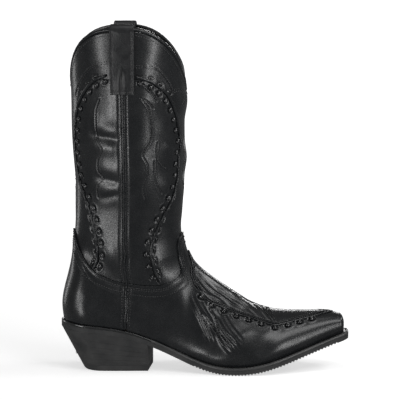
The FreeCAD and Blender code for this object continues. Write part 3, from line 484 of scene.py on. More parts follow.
def evened(place, dense=0.0):
    """place with its s made even in length along each row, or denser round a sixth of the way in."""
    fine, rows = np.linspace(0, 1, 801), np.linspace(0, 1, 61)
    s, t = np.meshgrid(fine, rows, indexing="ij")
    run = np.zeros(s.shape)
    run[1:] = np.cumsum(np.linalg.norm(np.diff(skin(*place(s, t)), axis=0), axis=-1), 0)
    table = np.stack([np.interp(fine, run[:, j] / run[-1, j], fine) for j in range(61)], 1)

    def even(s, t):
        s = s + dense * np.sin(6 * np.pi * s) / (6 * np.pi)
        a, b = np.clip(s, 0, 1) * 800, np.clip(t, 0, 1) * 60
        i, j = np.minimum(a.astype(int), 799), np.minimum(b.astype(int), 59)
        a, b = a - i, b - j
        low = table[i, j] * (1 - a) + table[i + 1, j] * a
        high = table[i, j + 1] * (1 - a) + table[i + 1, j + 1] * a
        return place(low * (1 - b) + high * b, t)
    return even


def slab_between(piece, outer, inner):
    """Closed leather sheet between two grids of points of equal shape."""
    rows, columns = outer.shape[:2]
    n = rows * columns
    ids = np.arange(n).reshape(rows, columns)
    loop = np.concatenate([ids[0, :-1], ids[:-1, -1], ids[-1, :0:-1], ids[:0:-1, 0]])
    points = np.concatenate([outer.reshape(-1, 3), inner.reshape(-1, 3)])
    middle = (rows // 2, columns // 2)
    a = outer[middle[0] + 1, middle[1]] - outer[middle]
    b = outer[middle[0], middle[1] + 1] - outer[middle]
    facing = np.dot(np.cross(a, b), outer[middle] - inner[middle]) > 0
    piece.add(points, np.concatenate([grid_quads(rows, columns, 0, not facing),
                                      grid_quads(rows, columns, n, facing),
                                      rim_quads(loop, 0, n, not facing)]))


def stations(count, length, rounding):
    """0..1 with extra stations close to both ends, for a rounded edge."""
    near = np.array([0, .1, .3, .6, 1.0]) * rounding / length
    body = np.linspace(0, 1, count)
    body = body[(body > near[-1] * 1.2) & (body < 1 - near[-1] * 1.2)]
    return np.concatenate([near, body, 1 - near[::-1]])


def leather(piece, place, span, cell, rounding, extra):
    """A rounded-edge sheet of leather over place(s, t) -> (u, v)."""
    probe = np.linspace(0, 1, 41)
    s, t = np.meshgrid(probe, probe, indexing="ij")
    p = skin(*place(s, t))
    length_s = np.linalg.norm(np.diff(p, axis=0), axis=-1).sum(0)
    length_t = np.linalg.norm(np.diff(p, axis=1), axis=-1).sum(1)
    along = [stations(max(6, int(length.max() / step)), length.mean(), rounding)
             for length, step in zip((length_s, length_t), cell)]
    s, t = np.meshgrid(*along, indexing="ij")
    u, v = place(s, t)
    e_s = np.minimum(s, 1 - s) * np.maximum(np.interp(t, probe, length_s), 1)
    e_t = np.minimum(t, 1 - t) * np.maximum(np.interp(s, probe, length_t), 1)
    e = np.clip(np.minimum(e_s, e_t) / rounding, 0, 1)
    drop = rounding * (1 - np.sqrt(1 - (1 - e) ** 2))
    p, n = skin(u, v), normal(u, v)
    d = folds(p)
    outer = p + n * (span[1] - drop + d + extra(u, v, p))[..., None]
    inner = p + n * (span[0] + d)[..., None]
    slab_between(piece, outer, inner)


def loop_run(points):
    """Unit directions along a closed loop of points."""
    return unit(np.roll(points, -1, 0) - np.roll(points, 1, 0))


def tube(piece, points, hint, radius, round_by=14, high=None, closed=False):
    """Round cord along points. radius may vary along it; high is its height, if not round."""
    run = loop_run(points) if closed else unit(np.gradient(points, axis=0))
    side = unit(np.cross(run, hint))
    rise = np.cross(side, run)
    count = len(points)
    wide = np.broadcast_to(radius, count)
    tall = wide if high is None else np.broadcast_to(high, count)
    turn = 2 * np.pi * np.arange(round_by) / round_by
    ring = (side[:, None] * (wide[:, None] * np.cos(turn))[..., None]
            + rise[:, None] * (tall[:, None] * np.sin(turn))[..., None])
    p = (points[:, None] + ring).reshape(-1, 3)
    k, n = np.arange(round_by), count * round_by
    if closed:
        piece.add(p, grid_quads(count + 1, round_by, 0, True, wrap=True) % n)
        return
    ends = [points[0] - run[0] * wide[0] * .3, points[-1] + run[-1] * wide[-1] * .3]
    quads = [grid_quads(count, round_by, 0, True, wrap=True), fan(k, n), fan(n - round_by + k, n + 1, True)]
    piece.add(np.concatenate([p, ends]), np.concatenate(quads))


def blobs(piece, centres, axes, finish, rings, round_by, power=1.0):
    """Closed ellipsoids: axes is (n, 3, 3), the three half axes of each."""
    centres, axes = np.asarray(centres), np.asarray(axes)
    lat = np.linspace(-np.pi / 2, np.pi / 2, rings + 2)[1:-1]
    lon = 2 * np.pi * np.arange(round_by) / round_by
    flat = np.abs(np.cos(lat)) ** power
    local = np.stack([flat[:, None] * np.cos(lon), flat[:, None] * np.sin(lon),
                      np.sin(lat)[:, None] + 0 * lon], -1).reshape(-1, 3)
    local = np.concatenate([local, [[0, 0, -1], [0, 0, 1]]])
    points = centres[:, None] + np.einsum("kj,njc->nkc", local, axes)
    k, n = np.arange(round_by), rings * round_by
    quads = np.concatenate([grid_quads(rings, round_by, wrap=True), fan(k, n, True),
                            fan(n - round_by + k, n + 1)])
    every = quads[None] + (np.arange(len(centres)) * (n + 2))[:, None, None]
    piece.add(points, every, finish)


THREAD, STITCH_HALF, BLUNT = .42, .31, .6     # radius, half length as a share of pitch, end shape


def stitch(piece, u, v, distance, pitch=2.9):
    """A row of short stitches along a path (u, v), half sunk in the leather."""
    u, v = even_path(u, v, pitch)
    um, vm = (u[1:] + u[:-1]) / 2, (v[1:] + v[:-1]) / 2
    run = np.diff(place_at(u, v, distance)[0], axis=0)
    m, n = place_at(um, vm, distance)
    axes = np.stack([unit(np.cross(run, n)) * THREAD, n * THREAD * .9, run * STITCH_HALF], 1)
    blobs(piece, m + n * THREAD * .5, axes, 1, 5, 8, BLUNT)


# ---- finishes ------------------------------------------------------------------------------
def fill(node, **values):
    """Sets a node's inputs. Their names are written with _ for each space."""
    for key, value in values.items():
        node.inputs[key.replace("_", " ")].default_value = value


def ranged(tree, value, low, high, a, b):
    """value, taken from the range a to b into the range low to high."""
    r = tree.nodes.new("ShaderNodeMapRange")
    fill(r, From_Min=a, From_Max=b, To_Min=low, To_Max=high)
    tree.links.new(value, r.inputs["Value"])
    return r


def finish(name, colour, second, rough, spread, grain, depth, level=.5, coat=0.0, coat_rough=.25, patch=60.0):
    """A procedural surface: mottled colour, uneven gloss and a raised grain of grain per metre."""
    m = bpy.data.materials.new(name)
    m.use_nodes = True
    nodes, links = m.node_tree.nodes, m.node_tree.links
    shader = nodes["Principled BSDF"]
    fill(shader, Specular_IOR_Level=level, Coat_Weight=coat, Coat_Roughness=coat_rough)
    place = nodes.new("ShaderNodeTexCoord")

    def noise(scale, detail, harsh=.5):
        n = nodes.new("ShaderNodeTexNoise")
        fill(n, Scale=scale, Detail=detail, Roughness=harsh)
        links.new(place.outputs["Object"], n.inputs["Vector"])
        return n.outputs["Fac"]

    blotch = noise(patch, 4, .6)
    ramp = nodes.new("ShaderNodeMix")
    ramp.data_type = "RGBA"
    fill(ramp, A=(*colour, 1), B=(*second, 1))
    links.new(ranged(m.node_tree, blotch, 0, 1, .38, .68).outputs["Result"], ramp.inputs["Factor"])
    links.new(ramp.outputs["Result"], shader.inputs["Base Color"])
    scuff = ranged(m.node_tree, noise(patch * 7, 5, .65), rough - spread, rough + spread, .3, .7)
    links.new(scuff.outputs["Result"], shader.inputs["Roughness"])
    cells = nodes.new("ShaderNodeTexVoronoi")
    cells.feature = "SMOOTH_F1"
    fill(cells, Scale=grain, Smoothness=.6)
    links.new(place.outputs["Object"], cells.inputs["Vector"])
    rise = nodes.new("ShaderNodeMath")
    rise.operation = "MULTIPLY_ADD"
    links.new(cells.outputs["Distance"], rise.inputs[0])
    rise.inputs[1].default_value = 1.0
    links.new(noise(grain * 1.7, 3), rise.inputs[2])
    bump = nodes.new("ShaderNodeBump")
    fill(bump, Strength=1.0, Distance=depth)
    links.new(rise.outputs["Value"], bump.inputs["Height"])
    links.new(bump.outputs["Normal"], shader.inputs["Normal"])
    return m


BLACK = finish("black_leather", (.0060, .0068, .0078), (.0105, .0112, .0122), .28, .06, 1150, .000032,
               coat=.15, coat_rough=.22)
GLOSSY = finish("polished_lace", (.008, .0085, .0095), (.014, .0145, .015), .16, .05, 1900, .00003,
                level=.7, coat=.8, coat_rough=.14)
STRAP = finish("strap_leather", (.0085, .009, .010), (.018, .0185, .0195), .36, .09, 900, .00016,
               level=.45, coat=.08, coat_rough=.3, patch=160)
LINED = finish("lining_leather", (.030, .027, .025), (.045, .040, .036), .58, .08, 1300, .00008, level=.3)
THREADED = finish("black_thread", (.026, .0265, .028), (.045, .045, .046), .34, .08, 5200, .00003, level=.6)
# the welt's colour is painted lighter than the black leather: a painted highlight for the bright line along
# its top edge
EDGE = finish("welt_painted_highlight", (.035, .0355, .036), (.055, .055, .055), .36, .08, 2500, .00004, coat=.2)
RUBBER = finish("sole_rubber", (.022, .0225, .023), (.036, .036, .036), .62, .08, 2600, .00008,
                level=.35, patch=45)
STACK = finish("stacked_heel", (.020, .0205, .021), (.034, .034, .034), .52, .09, 2200, .00007,
               level=.38, patch=70)
BOARD = finish("fibreboard", (.35, .25, .15), (.27, .18, .10), .75, .08, 1800, .0001, level=.25)
CORK = finish("cork", (.36, .22, .11), (.17, .09, .04), .8, .08, 700, .0003, level=.2, patch=300)
STEEL = finish("steel", (.55, .55, .56), (.45, .45, .46), .35, .08, 3000, .00001)
fill(STEEL.node_tree.nodes["Principled BSDF"], Metallic=1.0)


# ---- the leather pieces --------------------------------------------------------------------
TUCK, SEAM_SLIT, EDGE_GAP = .045, .15, .0012
PIPING_RADIUS, CORD_RADIUS, BINDING_RADIUS = 1.3, 1.6, 1.9
PIPING_ROOM = PIPING_RADIUS + .12
LACE_PITCH, STRAP_WIDTH, STRAP_THICK = 12.4, 25.0, 2.2
STRAP_BOTTOM, STRAP_SPRING, STRAP_LOOP_TOP, STRAP_INSIDE_BOTTOM = 293.5, 357.5, 365.6, 312.0
STRAP_FINGER_GAP, STRAP_ROUND, STRAP_ROW, STRAP_BULGE = 7.5, .7, 2.6, 1.9
SIDES = (("outer", False), ("inner", True))
ARCHES = [(side_name, inner, end, end == "front") for side_name, inner in SIDES for end in ("front", "back")]
VAMP_ROWS, COUNTER_ROWS, SEAM_ROW = (4.0, 5.8, 11.5), (3.2, 9.5), 4.2   # stitch rows from an edge or seam
FINE_PITCH, RAISED = 2.6, .03        # pitch of the fine rows, and how far stitches stand off the leather
PLUG_PITCH, CORD_STEP = 13.0, 1.2    # between plug laces, and between the sections of a cord
TOP_ROW, TWIN_ROW, PLUG_ROW = 3.2, 2.2, 2.4      # rows from the top line, each other, the plug's edge
SEAM_PITCH, PLUG_STITCH, OVERLAY_SINK = 2.7, 2.4, .3


def level(value):
    return lambda u: np.full(np.shape(u), value)


def front_place(low, high, gap, power=1.0, dense=0.0):
    """place(s, t) for leather ahead of the side seams, from v = low(u) to high(u)."""
    def place(s, t):
        t = t ** power
        left = u_shift(SEAM_U, mix(low(.36), high(.36), t), gap)
        u = mix(left, 1 - left, s)
        return u, mix(low(u), high(u), t)
    return evened(place, dense)


def back_place(low, high, gap):
    """place(s, t) for leather behind the side seams, from v = low(u) to high(u)."""
    def place(s, t):
        side = u_shift(SEAM_U, mix(low(.12), high(.12), t), -gap)
        u = mix(-side, side, s)
        return u, mix(low(u), high(u), t)
    return evened(place)


def vamp_top(u):
    return VAMP_TOP(fold(u))


def counter_top(u):
    return COUNTER_TOP(fold(u))


SEAM_LINE = skin(SEAM_U, np.linspace(.0, 1, 60))[:, [0, 2]]


def seam_roll(p):
    """Leather rolled up beside the side piping, with the hollow its stitching draws."""
    s, _ = line_distance(p[..., 0], p[..., 2], SEAM_LINE)
    away = np.abs(s)
    on_side = smooth((np.abs(p[..., 1]) - 18) / 8)
    return on_side * (.12 * np.exp(-(away / 2.2) ** 2) - .32 * np.exp(-((away - 4.2) / .7) ** 2)
                      + .10 * np.exp(-((away - 6.6) / 1.6) ** 2))


def turned_edge(below, u, v):
    """A folded upper edge stands a little proud of the leather below it."""
    away = below * np.linalg.norm(tangents(u, v)[1], axis=-1)
    rise = .6 * np.exp(-(away / 1.5) ** 2)
    for row in VAMP_ROWS:
        rise = rise - .22 * np.exp(-((away - row) / .7) ** 2)
    return rise


def grooves(p, lines, depth, width):
    """Hollows along stitched lines, with the leather raised on both sides."""
    x, z = p[..., 0], p[..., 2]
    d = np.zeros(x.shape)
    for line in lines:
        near = ((x > line[:, 0].min() - 5) & (x < line[:, 0].max() + 5)
                & (z > line[:, 1].min() - 5) & (z < line[:, 1].max() + 5))
        if near.any():
            s, _ = line_distance(x[near], z[near], line)
            s = np.abs(s)
            banks = .45 * np.exp(-((s - 2.4 * width) / (1.6 * width)) ** 2)
            d[near] += depth * (-np.exp(-(s / width) ** 2) + banks)
    return d


SHAFT_SPLINES = [spline(line, 1.5) for line in SHAFT_LINES]
PANEL_SPLINES = [spline(line, 1.5) for line in PANEL_LINES]
SEAM_X = -88                         # decorative lines ahead of it are on the front pieces
PLUG_SPLINES = [spline(line, 1.5) for line in PLUG_LINES]


def line_path(line, inner):
    u, v = side_uv(line)
    return (1 - u if inner else u), v


# the laced arch: stations along each cord, with the bead inside it and the slot outside it
STRAP_EDGE = STRAP_WIDTH / 2 + CORD_RADIUS + .6
BEAD_AWAY, SLOT_AWAY, SLOT_LAG = 3.9, 5.6, .72   # from the cord, and how far slots lag, in pitches


def arch_path(front, inner):
    arch, edge, low, top = ARCH_BACK, COUNTER_TOP, .34, .903
    if front:
        arch, edge, low, top = ARCH_FRONT, VAMP_TOP, .43, .905
    k = np.linspace(0, 1, 161)
    v = mix(low, top, 1 - (1 - k) ** 1.7)
    u = arch(v)
    away = np.abs(skin(u, v)[:, 0] - skin(SEAM_U, v)[:, 0])
    keep = (v > edge(u) + .009) & ((v < .8) | (away > STRAP_EDGE - 1.2))
    u, v = u[keep], v[keep]
    return (1 - u if inner else u), v


def arch_side(front, inner):
    """Which way is outward from an arch cord: 1 is right of its path, -1 is left."""
    return 1 if front != inner else -1


def edge_frame(u, v, side, distance, across):
    """Points beside a path, with run, outward and across-the-path unit vectors."""
    p, n = place_at(u, v, distance)
    run = unit(np.gradient(skin(u, v), axis=0))
    out = unit(np.cross(run, n)) * side
    return p + out * across, run, n, out


def arch_stations(front, inner):
    u, v = arch_path(front, inner)
    su, sv = even_path(u[4:-6], v[4:-6], LACE_PITCH)
    side, k = arch_side(front, inner), np.arange(len(su))
    low = np.clip(k - SLOT_LAG, 0, len(su) - 1)
    slot = sideways(np.interp(low, k, su), np.interp(low, k, sv), side * SLOT_AWAY)
    run = unit(np.gradient(skin(su, sv), axis=0))
    return sideways(su, sv, -side * BEAD_AWAY), slot, run


BEADS, SLOTS = {}, {}
for side_name, inner, _, front in ARCHES:
    bead, slot, run = arch_stations(front, inner)
    BEADS[side_name, front] = bead, run
    SLOTS[side_name, front] = slot, run


def recess(p, places, run, along, across, depth, rim=.3):
    """Oval hollows at (u, v) places, long axes along run, with a slight raised rim."""
    c = skin(*places)
    n = normal(*places)
    d = np.zeros(p.shape[:-1])
    for centre, r, m in zip(c, run, n):
        rel = p - centre
        near = (np.abs(rel) < 3 * along).all(-1)
        if not near.any():
            continue
        rel = rel[near]
        a, b = rel @ r, rel @ np.cross(r, m)
        q = np.sqrt((a / along) ** 2 + (b / across) ** 2)
        d[near] += -depth * np.exp(-q ** 4) + rim * depth * np.exp(-((q - 1.35) / .3) ** 2)
    return d


def panel_extra(front):
    def extra(u, v, p):
        d = seam_roll(p) + grooves(p, PANEL_SPLINES, .35, .6)
        for side_name, _ in SIDES:
            places, run = SLOTS[side_name, front]
            d += recess(p, places, run, 4.0, 1.3, .6, .2)
        return d
    return extra


def overlay_extra(side_name, front):
    def extra(u, v, p):
        places, run = BEADS[side_name, front]
        d = recess(p, places, run, 3.7, 2.8, .6, .3)
        return d + grooves(p, SHAFT_SPLINES, .32, .6) + seam_roll(p)
    return extra


def under_edge(u, top, away):
    """A row a distance in mm below the edge v = top(u), without the loops at its peaks."""
    a, b = sideways(u, top(u), away)
    clear = (top(a) - b) * np.linalg.norm(tangents(a, b)[1], axis=-1) > .7 * away
    clear &= np.sign(np.gradient(a)) == np.sign(u[-1] - u[0])
    return a[clear], b[clear]


def seam_u(inner, count):
    return np.full(count, 1 - SEAM_U if inner else SEAM_U)


def seam_rows(piece, top, away):
    """Stitches beside both side pipings, from the sole up to the edge v = top(SEAM_U)."""
    for _, inner in SIDES:
        v = np.linspace(.02, float(top(SEAM_U)) - .02, 60)
        stitch(piece, *sideways(seam_u(inner, 60), v, -away if inner else away), COVER[1] + RAISED)


def shaft_panel(front):
    name = "front" if front else "back"
    piece = Piece("shaft_%s_leather" % name)
    make, low = (front_place, vamp_top) if front else (back_place, counter_top)
    place = make(lambda u: low(u) - TUCK, top_v, SEAM_SLIT)
    leather(piece, place, BASE, (1.15, 1.15), .5, panel_extra(front))
    top = BASE[1] + .05
    for _, inner in SIDES:
        for line in PANEL_LINES:
            if (line[0][0] > SEAM_X) == front:
                path = line_path(spline(line, 2.0), inner)
                for row in (path, sideways(*path, TWIN_ROW)):
                    stitch(piece, *row, top)
    start, stop = (SEAM_U, 1 - SEAM_U) if front else (-SEAM_U, SEAM_U)
    span = np.linspace(start + .012, stop - .012, 240)
    stitch(piece, *under_edge(span, top_v, TOP_ROW), top)
    piece.build([BLACK, THREADED], ["shaft_%s_panel" % name])


def linings():
    for name, place in (
            ("shaft_front_lining", front_place(lambda u: vamp_top(u) - TUCK, top_v, SEAM_SLIT)),
            ("shaft_back_lining", back_place(level(0.0), top_v, SEAM_SLIT)),
            ("vamp_lining", front_place(level(0.0), lambda u: vamp_top(u) - TUCK - .008, .3, 1.3))):
        piece = Piece(name + "_leather")
        leather(piece, place, LINING, (3.2, 3.2), .35,
                lambda u, v, p: .12 * np.sin(p[..., 0] / 9 + p[..., 2] / 14))
        piece.build([LINED], [name])


PLUG_V = np.linspace(PLUG_LOW + .006, PLUG_HIGH - .010, 200)
LACED, HOLE_AWAY = (.150, .378), 4.4             # the laced part of PLUG_V, and holes from its edge


def plug_edge(inner):
    u = .5 - PLUG_HALF_WIDTH(PLUG_V)
    return (1 - u if inner else u), PLUG_V


def plug_side(inner):
    return 1 if inner else -1


PLUG_STATIONS = {}
for _, inner in SIDES:
    laced = (PLUG_V > LACED[0]) & (PLUG_V < LACED[1])
    pu, pv = even_path(*(a[laced] for a in plug_edge(inner)), PLUG_PITCH)
    hole_u, hole_v = sideways(pu, pv, plug_side(inner) * HOLE_AWAY)
    PLUG_STATIONS[inner] = (pu, pv), (hole_u, hole_v), unit(np.gradient(skin(pu, pv), axis=0))


def vamp():
    piece = Piece("vamp_leather")
    place = front_place(level(0.0), vamp_top, PIPING_ROOM, 1.25, .45)

    def extra(u, v, p):
        d = seam_roll(p) + turned_edge(vamp_top(u) - v, u, v)
        for _, inner in SIDES:
            _, holes, run = PLUG_STATIONS[inner]
            d += recess(p, holes, run, 3.9, 2.7, 1.25, .4)
        return d
    leather(piece, place, COVER, (1.5, 1.25), .6, extra)
    u = np.linspace(SEAM_U + .006, 1 - SEAM_U - .006, 420)
    for away in VAMP_ROWS:
        stitch(piece, *under_edge(u, vamp_top, away), COVER[1] + RAISED, FINE_PITCH)
    seam_rows(piece, VAMP_TOP, SEAM_ROW)
    piece.build([BLACK, THREADED], ["vamp"])


def counter():
    piece = Piece("counter_leather")
    leather(piece, back_place(level(0.0), counter_top, PIPING_ROOM), COVER, (1.6, 1.4), .6,
            lambda u, v, p: seam_roll(p) + turned_edge(counter_top(u) - v, u, v))
    u = np.linspace(-SEAM_U + .006, SEAM_U - .006, 300)
    for away in COUNTER_ROWS:
        stitch(piece, *under_edge(u, counter_top, away), COVER[1] + RAISED, FINE_PITCH)
    seam_rows(piece, COUNTER_TOP, -SEAM_ROW)
    piece.build([BLACK, THREADED], ["counter_cover"])


def plug():
    piece = Piece("vamp_plug_leather")

    def place(s, t):
        v = mix(PLUG_LOW, PLUG_HIGH, t)
        return .5 + (2 * s - 1) * PLUG_HALF_WIDTH(v), v

    def extra(u, v, p):
        edge = (PLUG_HALF_WIDTH(v) - np.abs(u - .5)) * np.linalg.norm(tangents(u, v)[0], axis=-1)
        turned = .5 * np.exp(-(edge / 1.8) ** 2) - .2 * np.exp(-((edge - 3.4) / .8) ** 2)
        return grooves(p, PLUG_SPLINES, .5, .7) + turned * smooth((v - PLUG_LOW) / .02)
    leather(piece, evened(place), PLUG, (.9, 1.0), .7, extra)
    for _, inner in SIDES:
        for line in PLUG_SPLINES:
            stitch(piece, *line_path(line, inner), PLUG[1] + .02, PLUG_STITCH)
        u, v = plug_edge(inner)
        stitch(piece, *sideways(u[8:-12], v[8:-12], -plug_side(inner) * PLUG_ROW), PLUG[1] + .02, PLUG_STITCH)
    piece.build([BLACK, THREADED], ["vamp_plug"])


def overlays():
    face = COVER[1] - OVERLAY_SINK
    high = float(v_at_height(SEAM_U, np.array(STRAP_BOTTOM)))
    for side_name, inner, end, front in ARCHES:
        arch, edge, low, top, gap = ARCH_BACK, COUNTER_TOP, .352, .900, -PIPING_ROOM
        if front:
            arch, edge, low, top, gap = ARCH_FRONT, VAMP_TOP, .4425, .903, PIPING_ROOM
        seam_low = float(edge(SEAM_U)) + EDGE_GAP

        def place(s, t):
            arch_v = mix(low, top, 1 - (1 - t) ** 1.6)
            seam_v = mix(seam_low, top - .0015, t)
            u = mix(u_shift(SEAM_U, seam_v, gap), arch(arch_v), s)
            v = mix(seam_v, arch_v, s)
            v = v + (1 - t) ** 5 * (edge(u) + EDGE_GAP - mix(seam_low, low, s))
            return (1 - u if inner else u), v
        piece = Piece("arch_%s_%s_leather" % (side_name, end))
        leather(piece, place, (BASE[1] + .1, face), (.8, 1.0), .5, overlay_extra(side_name, front))
        for line in SHAFT_SPLINES:
            if (line[:, 0].mean() > SEAM_X) == front:
                stitch(piece, *line_path(line, inner), face + RAISED, FINE_PITCH)
        row = sideways(seam_u(inner, 160), np.linspace(seam_low + .008, high, 160),
                       SEAM_ROW * arch_side(front, inner))
        stitch(piece, *row, face + RAISED, SEAM_PITCH)
        piece.build([BLACK, THREADED], ["arch_overlay_%s_%s" % (side_name, end)])


def arch_cords():
    for side_name, inner, end, front in ARCHES:
        u, v = even_path(*arch_path(front, inner), CORD_STEP)
        side = arch_side(front, inner)
        p, _, n, _ = edge_frame(u, v, side, BASE[1] + .05 + CORD_RADIUS, CORD_RADIUS + .1)
        at = np.arange(len(u)) * CORD_STEP / LACE_PITCH
        swell = 1 + .10 * np.cos(2 * np.pi * (at + .35)) + .03 * np.sin(at * 17)
        node = "arch_cord_%s_%s" % (side_name, end)
        piece = Piece(node + "_leather")
        tube(piece, p, n, CORD_RADIUS * swell)
        piece.build([BLACK], [node])


def pods(piece, centres, n, way, half, rings=7, round_by=12):
    """Ellipsoids along way with n upwards; half is their half width, height and length."""
    side = unit(np.cross(way, n))
    blobs(piece, centres, np.stack([side * half[0], n * half[1], way * half[2]], 1), 0, rings, round_by)


def arch_lacings():
    for side_name, inner in SIDES:
        piece = Piece("arch_lacing_%s_leather" % side_name)
        for front in (True, False):
            side = arch_side(front, inner)
            (bu, bv), run = BEADS[side_name, front]
            p, n = place_at(bu, bv, COVER[1] - .35)
            out = unit(np.cross(run, n)) * side
            pods(piece, p + n * .5, n, unit(run * .9 + out * .35), (2.05, 1.9, 2.75), 9, 16)
            tail = p + out * 1.9 - run * 1.3 - n * .25
            pods(piece, tail, n, unit(out * .9 - run * .8), (1.25, .8, 2.4))
            (su, sv), run = SLOTS[side_name, front]
            p, n = place_at(su, sv, BASE[1] - .25)
            out = unit(np.cross(run, n)) * side
            pods(piece, p, n, unit(run - out * .12), (.85, .75, 3.2), 9)
            pods(piece, p - out * 1.5 + run * 2.2, n, unit(run * .55 - out * .9), (1.0, .8, 2.0))
        piece.build([GLOSSY], ["arch_lacing_%s" % side_name])


def plug_seam():
    for side_name, inner in SIDES:
        side = plug_side(inner)
        u, v = even_path(*plug_edge(inner), CORD_STEP)
        p, _, n, _ = edge_frame(u, v, side, COVER[1] + .05 + .7, CORD_RADIUS - .5)
        at = np.arange(len(u)) * CORD_STEP / PLUG_PITCH
        swell = 1.0 + .12 * np.cos(2 * np.pi * (at + .5))
        piece = Piece("plug_cord_%s_leather" % side_name)
        tube(piece, p, n, .95 * swell, high=.7 * swell)
        piece.build([BLACK], ["plug_cord_%s" % side_name])
    piece = Piece("vamp_lacing_leather")
    for _, inner in SIDES:
        side = plug_side(inner)
        (cu, cv), (hu, hv), run = PLUG_STATIONS[inner]
        p, n = place_at(cu, cv, COVER[1] + .05)
        out = unit(np.cross(run, n)) * side
        k = np.linspace(0, 1, 13)[:, None]
        reach, lift, along = mix(1.6, 4.6, k), .4 + .9 * np.sin(np.pi * k), mix(-.5, .5, k)
        for centre, up, across, r in zip(p, n, out, run):
            path = centre + across * reach + up * lift + r * along
            tube(piece, path, np.broadcast_to(up, path.shape), 1.25, high=.5, round_by=12)
        q, m = place_at(hu, hv, COVER[1] + .05)
        pods(piece, q - m * .2, m, run, (1.7 * side, 1.25, 2.1), 9, 14)
    piece.build([GLOSSY], ["vamp_lacing"])


def pipings():
    for side_name, inner in SIDES:
        high = float(v_at_height(SEAM_U, np.array(STRAP_BOTTOM + 18)))
        v = np.linspace(.012, high, 260)
        p, n = place_at(seam_u(inner, 260), v, BASE[1] + .06 + PIPING_RADIUS)
        wobble = 1 + .03 * np.sin(v * 140) + .02 * np.sin(v * 311)
        piece = Piece("side_piping_%s_leather" % side_name)
        tube(piece, p, n, PIPING_RADIUS * wobble)
        piece.build([BLACK], ["side_piping_" + side_name])


def binding():
    u = np.linspace(0, 1, 421)
    u, v = (a[:-1] for a in even_path(u, top_v(u), 1.1))
    p, n = place_at(u, v, (BASE[1] + LINING[0]) / 2)
    p = p - unit(np.cross(loop_run(skin(u, v)), n)) * (BINDING_RADIUS + .15)
    wobble = 1 + .025 * np.sin(2 * np.pi * u * 57) + .02 * np.sin(2 * np.pi * u * 131)
    piece = Piece("top_binding_leather")
    tube(piece, p, n, BINDING_RADIUS * wobble, closed=True)
    piece.build([BLACK], ["top_binding"])


def straps():
    inside, half = LINING[0] - STRAP_FINGER_GAP, STRAP_WIDTH / 2
    middle, half_loop = (inside + .1) / 2, (.1 - inside) / 2
    rise = STRAP_LOOP_TOP - STRAP_THICK - STRAP_SPRING
    cross = np.linspace(-1, 1, 61)
    cross = np.sign(cross) * (1 - (1 - np.abs(cross)) ** 1.25)
    x_side, inset = cross * half, half * (1 - np.abs(cross))
    drop = STRAP_ROUND * (1 - np.sqrt(1 - (1 - np.clip(inset / STRAP_ROUND, 0, 1)) ** 2))
    seam = .25 * np.exp(-((inset - 1.2) / .7) ** 2) - .4 * np.exp(-((inset - STRAP_ROW) / .6) ** 2)
    up = np.array([0, 0, 1.0])
    for side_name, inner in SIDES:
        def strap_u(x):
            u = u_shift(SEAM_U, .95, x)
            return 1 - u if inner else u
        u = strap_u(x_side)
        outer, flat = [], []
        zs = [STRAP_BOTTOM, STRAP_BOTTOM + .15, STRAP_BOTTOM + .5]
        for z in np.append(zs, np.linspace(STRAP_BOTTOM + 1.2, STRAP_SPRING, 60)):
            v = v_at_height(u, np.full(61, z))
            bulge = STRAP_BULGE * np.exp(-(x_side / 2.2) ** 2) * (1 - smooth((z - STRAP_BOTTOM - 16) / 14))
            end = 1 - min(1, (z - STRAP_BOTTOM) / STRAP_ROUND)
            end = STRAP_ROUND * (1 - math.sqrt(1 - end ** 2))
            press = -.25 * math.exp(-((z - STRAP_BOTTOM - 3) / .8) ** 2)
            worn = .16 * np.sin(z / 4.3 + x_side / 5) + .12 * np.sin(z / 9.1 - x_side / 3.1)
            face = seam + press + worn - np.maximum(drop, end)
            outer.append(place_at(u, v, .1, bulge + STRAP_THICK + face)[0])
            flat.append(place_at(u, v, .1, bulge)[0])
        p, n = place_at(u, v_at_height(u, np.full(61, STRAP_SPRING)), 0.0)
        t = STRAP_THICK - drop
        for turn in math.pi * np.arange(1, 24) / 24:
            c, k = math.cos(turn), math.sin(turn)
            outer.append(p + n * (middle + (half_loop + t) * c)[:, None] + up * ((rise + t) * k)[:, None])
            flat.append(p + n * (middle + half_loop * c) + up * (rise * k))
        for z in np.linspace(STRAP_SPRING, STRAP_INSIDE_BOTTOM, 36):
            v = v_at_height(u, np.full(61, z))
            hang = mix(LINING[0] - .15, inside, float(smooth((z - STRAP_INSIDE_BOTTOM - 8) / 12)))
            outer.append(place_at(u, v, hang, -t)[0])
            flat.append(place_at(u, v, hang)[0])
        piece = Piece("pull_strap_%s_leather" % side_name)
        slab_between(piece, np.stack(outer, 1), np.stack(flat, 1))
        z = np.linspace(STRAP_BOTTOM + 3, STRAP_SPRING - 2, 60)
        for x in (STRAP_ROW - half, half - STRAP_ROW):
            side = np.full(60, float(strap_u(x)))
            stitch(piece, side, v_at_height(side, z), .1 + STRAP_THICK - .22, 2.5)
        xs = np.linspace(STRAP_ROW - half, half - STRAP_ROW, 40)
        v = v_at_height(strap_u(xs), np.full(40, STRAP_BOTTOM + 3.0))
        a, n = place_at(strap_u(xs), v, .1 + STRAP_THICK - .18, STRAP_BULGE * np.exp(-(xs / 2.2) ** 2))
        b, index = resample(a, 2.5)
        run = np.diff(b, axis=0)
        n = np.stack([np.interp(index, np.arange(40), n[:, c]) for c in range(3)], 1)[:-1]
        axes = np.stack([unit(np.cross(run, n)) * THREAD, n * THREAD, run * STITCH_HALF], 1)
        blobs(piece, (b[1:] + b[:-1]) / 2, axes, 1, 5, 8, BLUNT)
        piece.build([STRAP, THREADED], ["pull_strap_" + side_name])


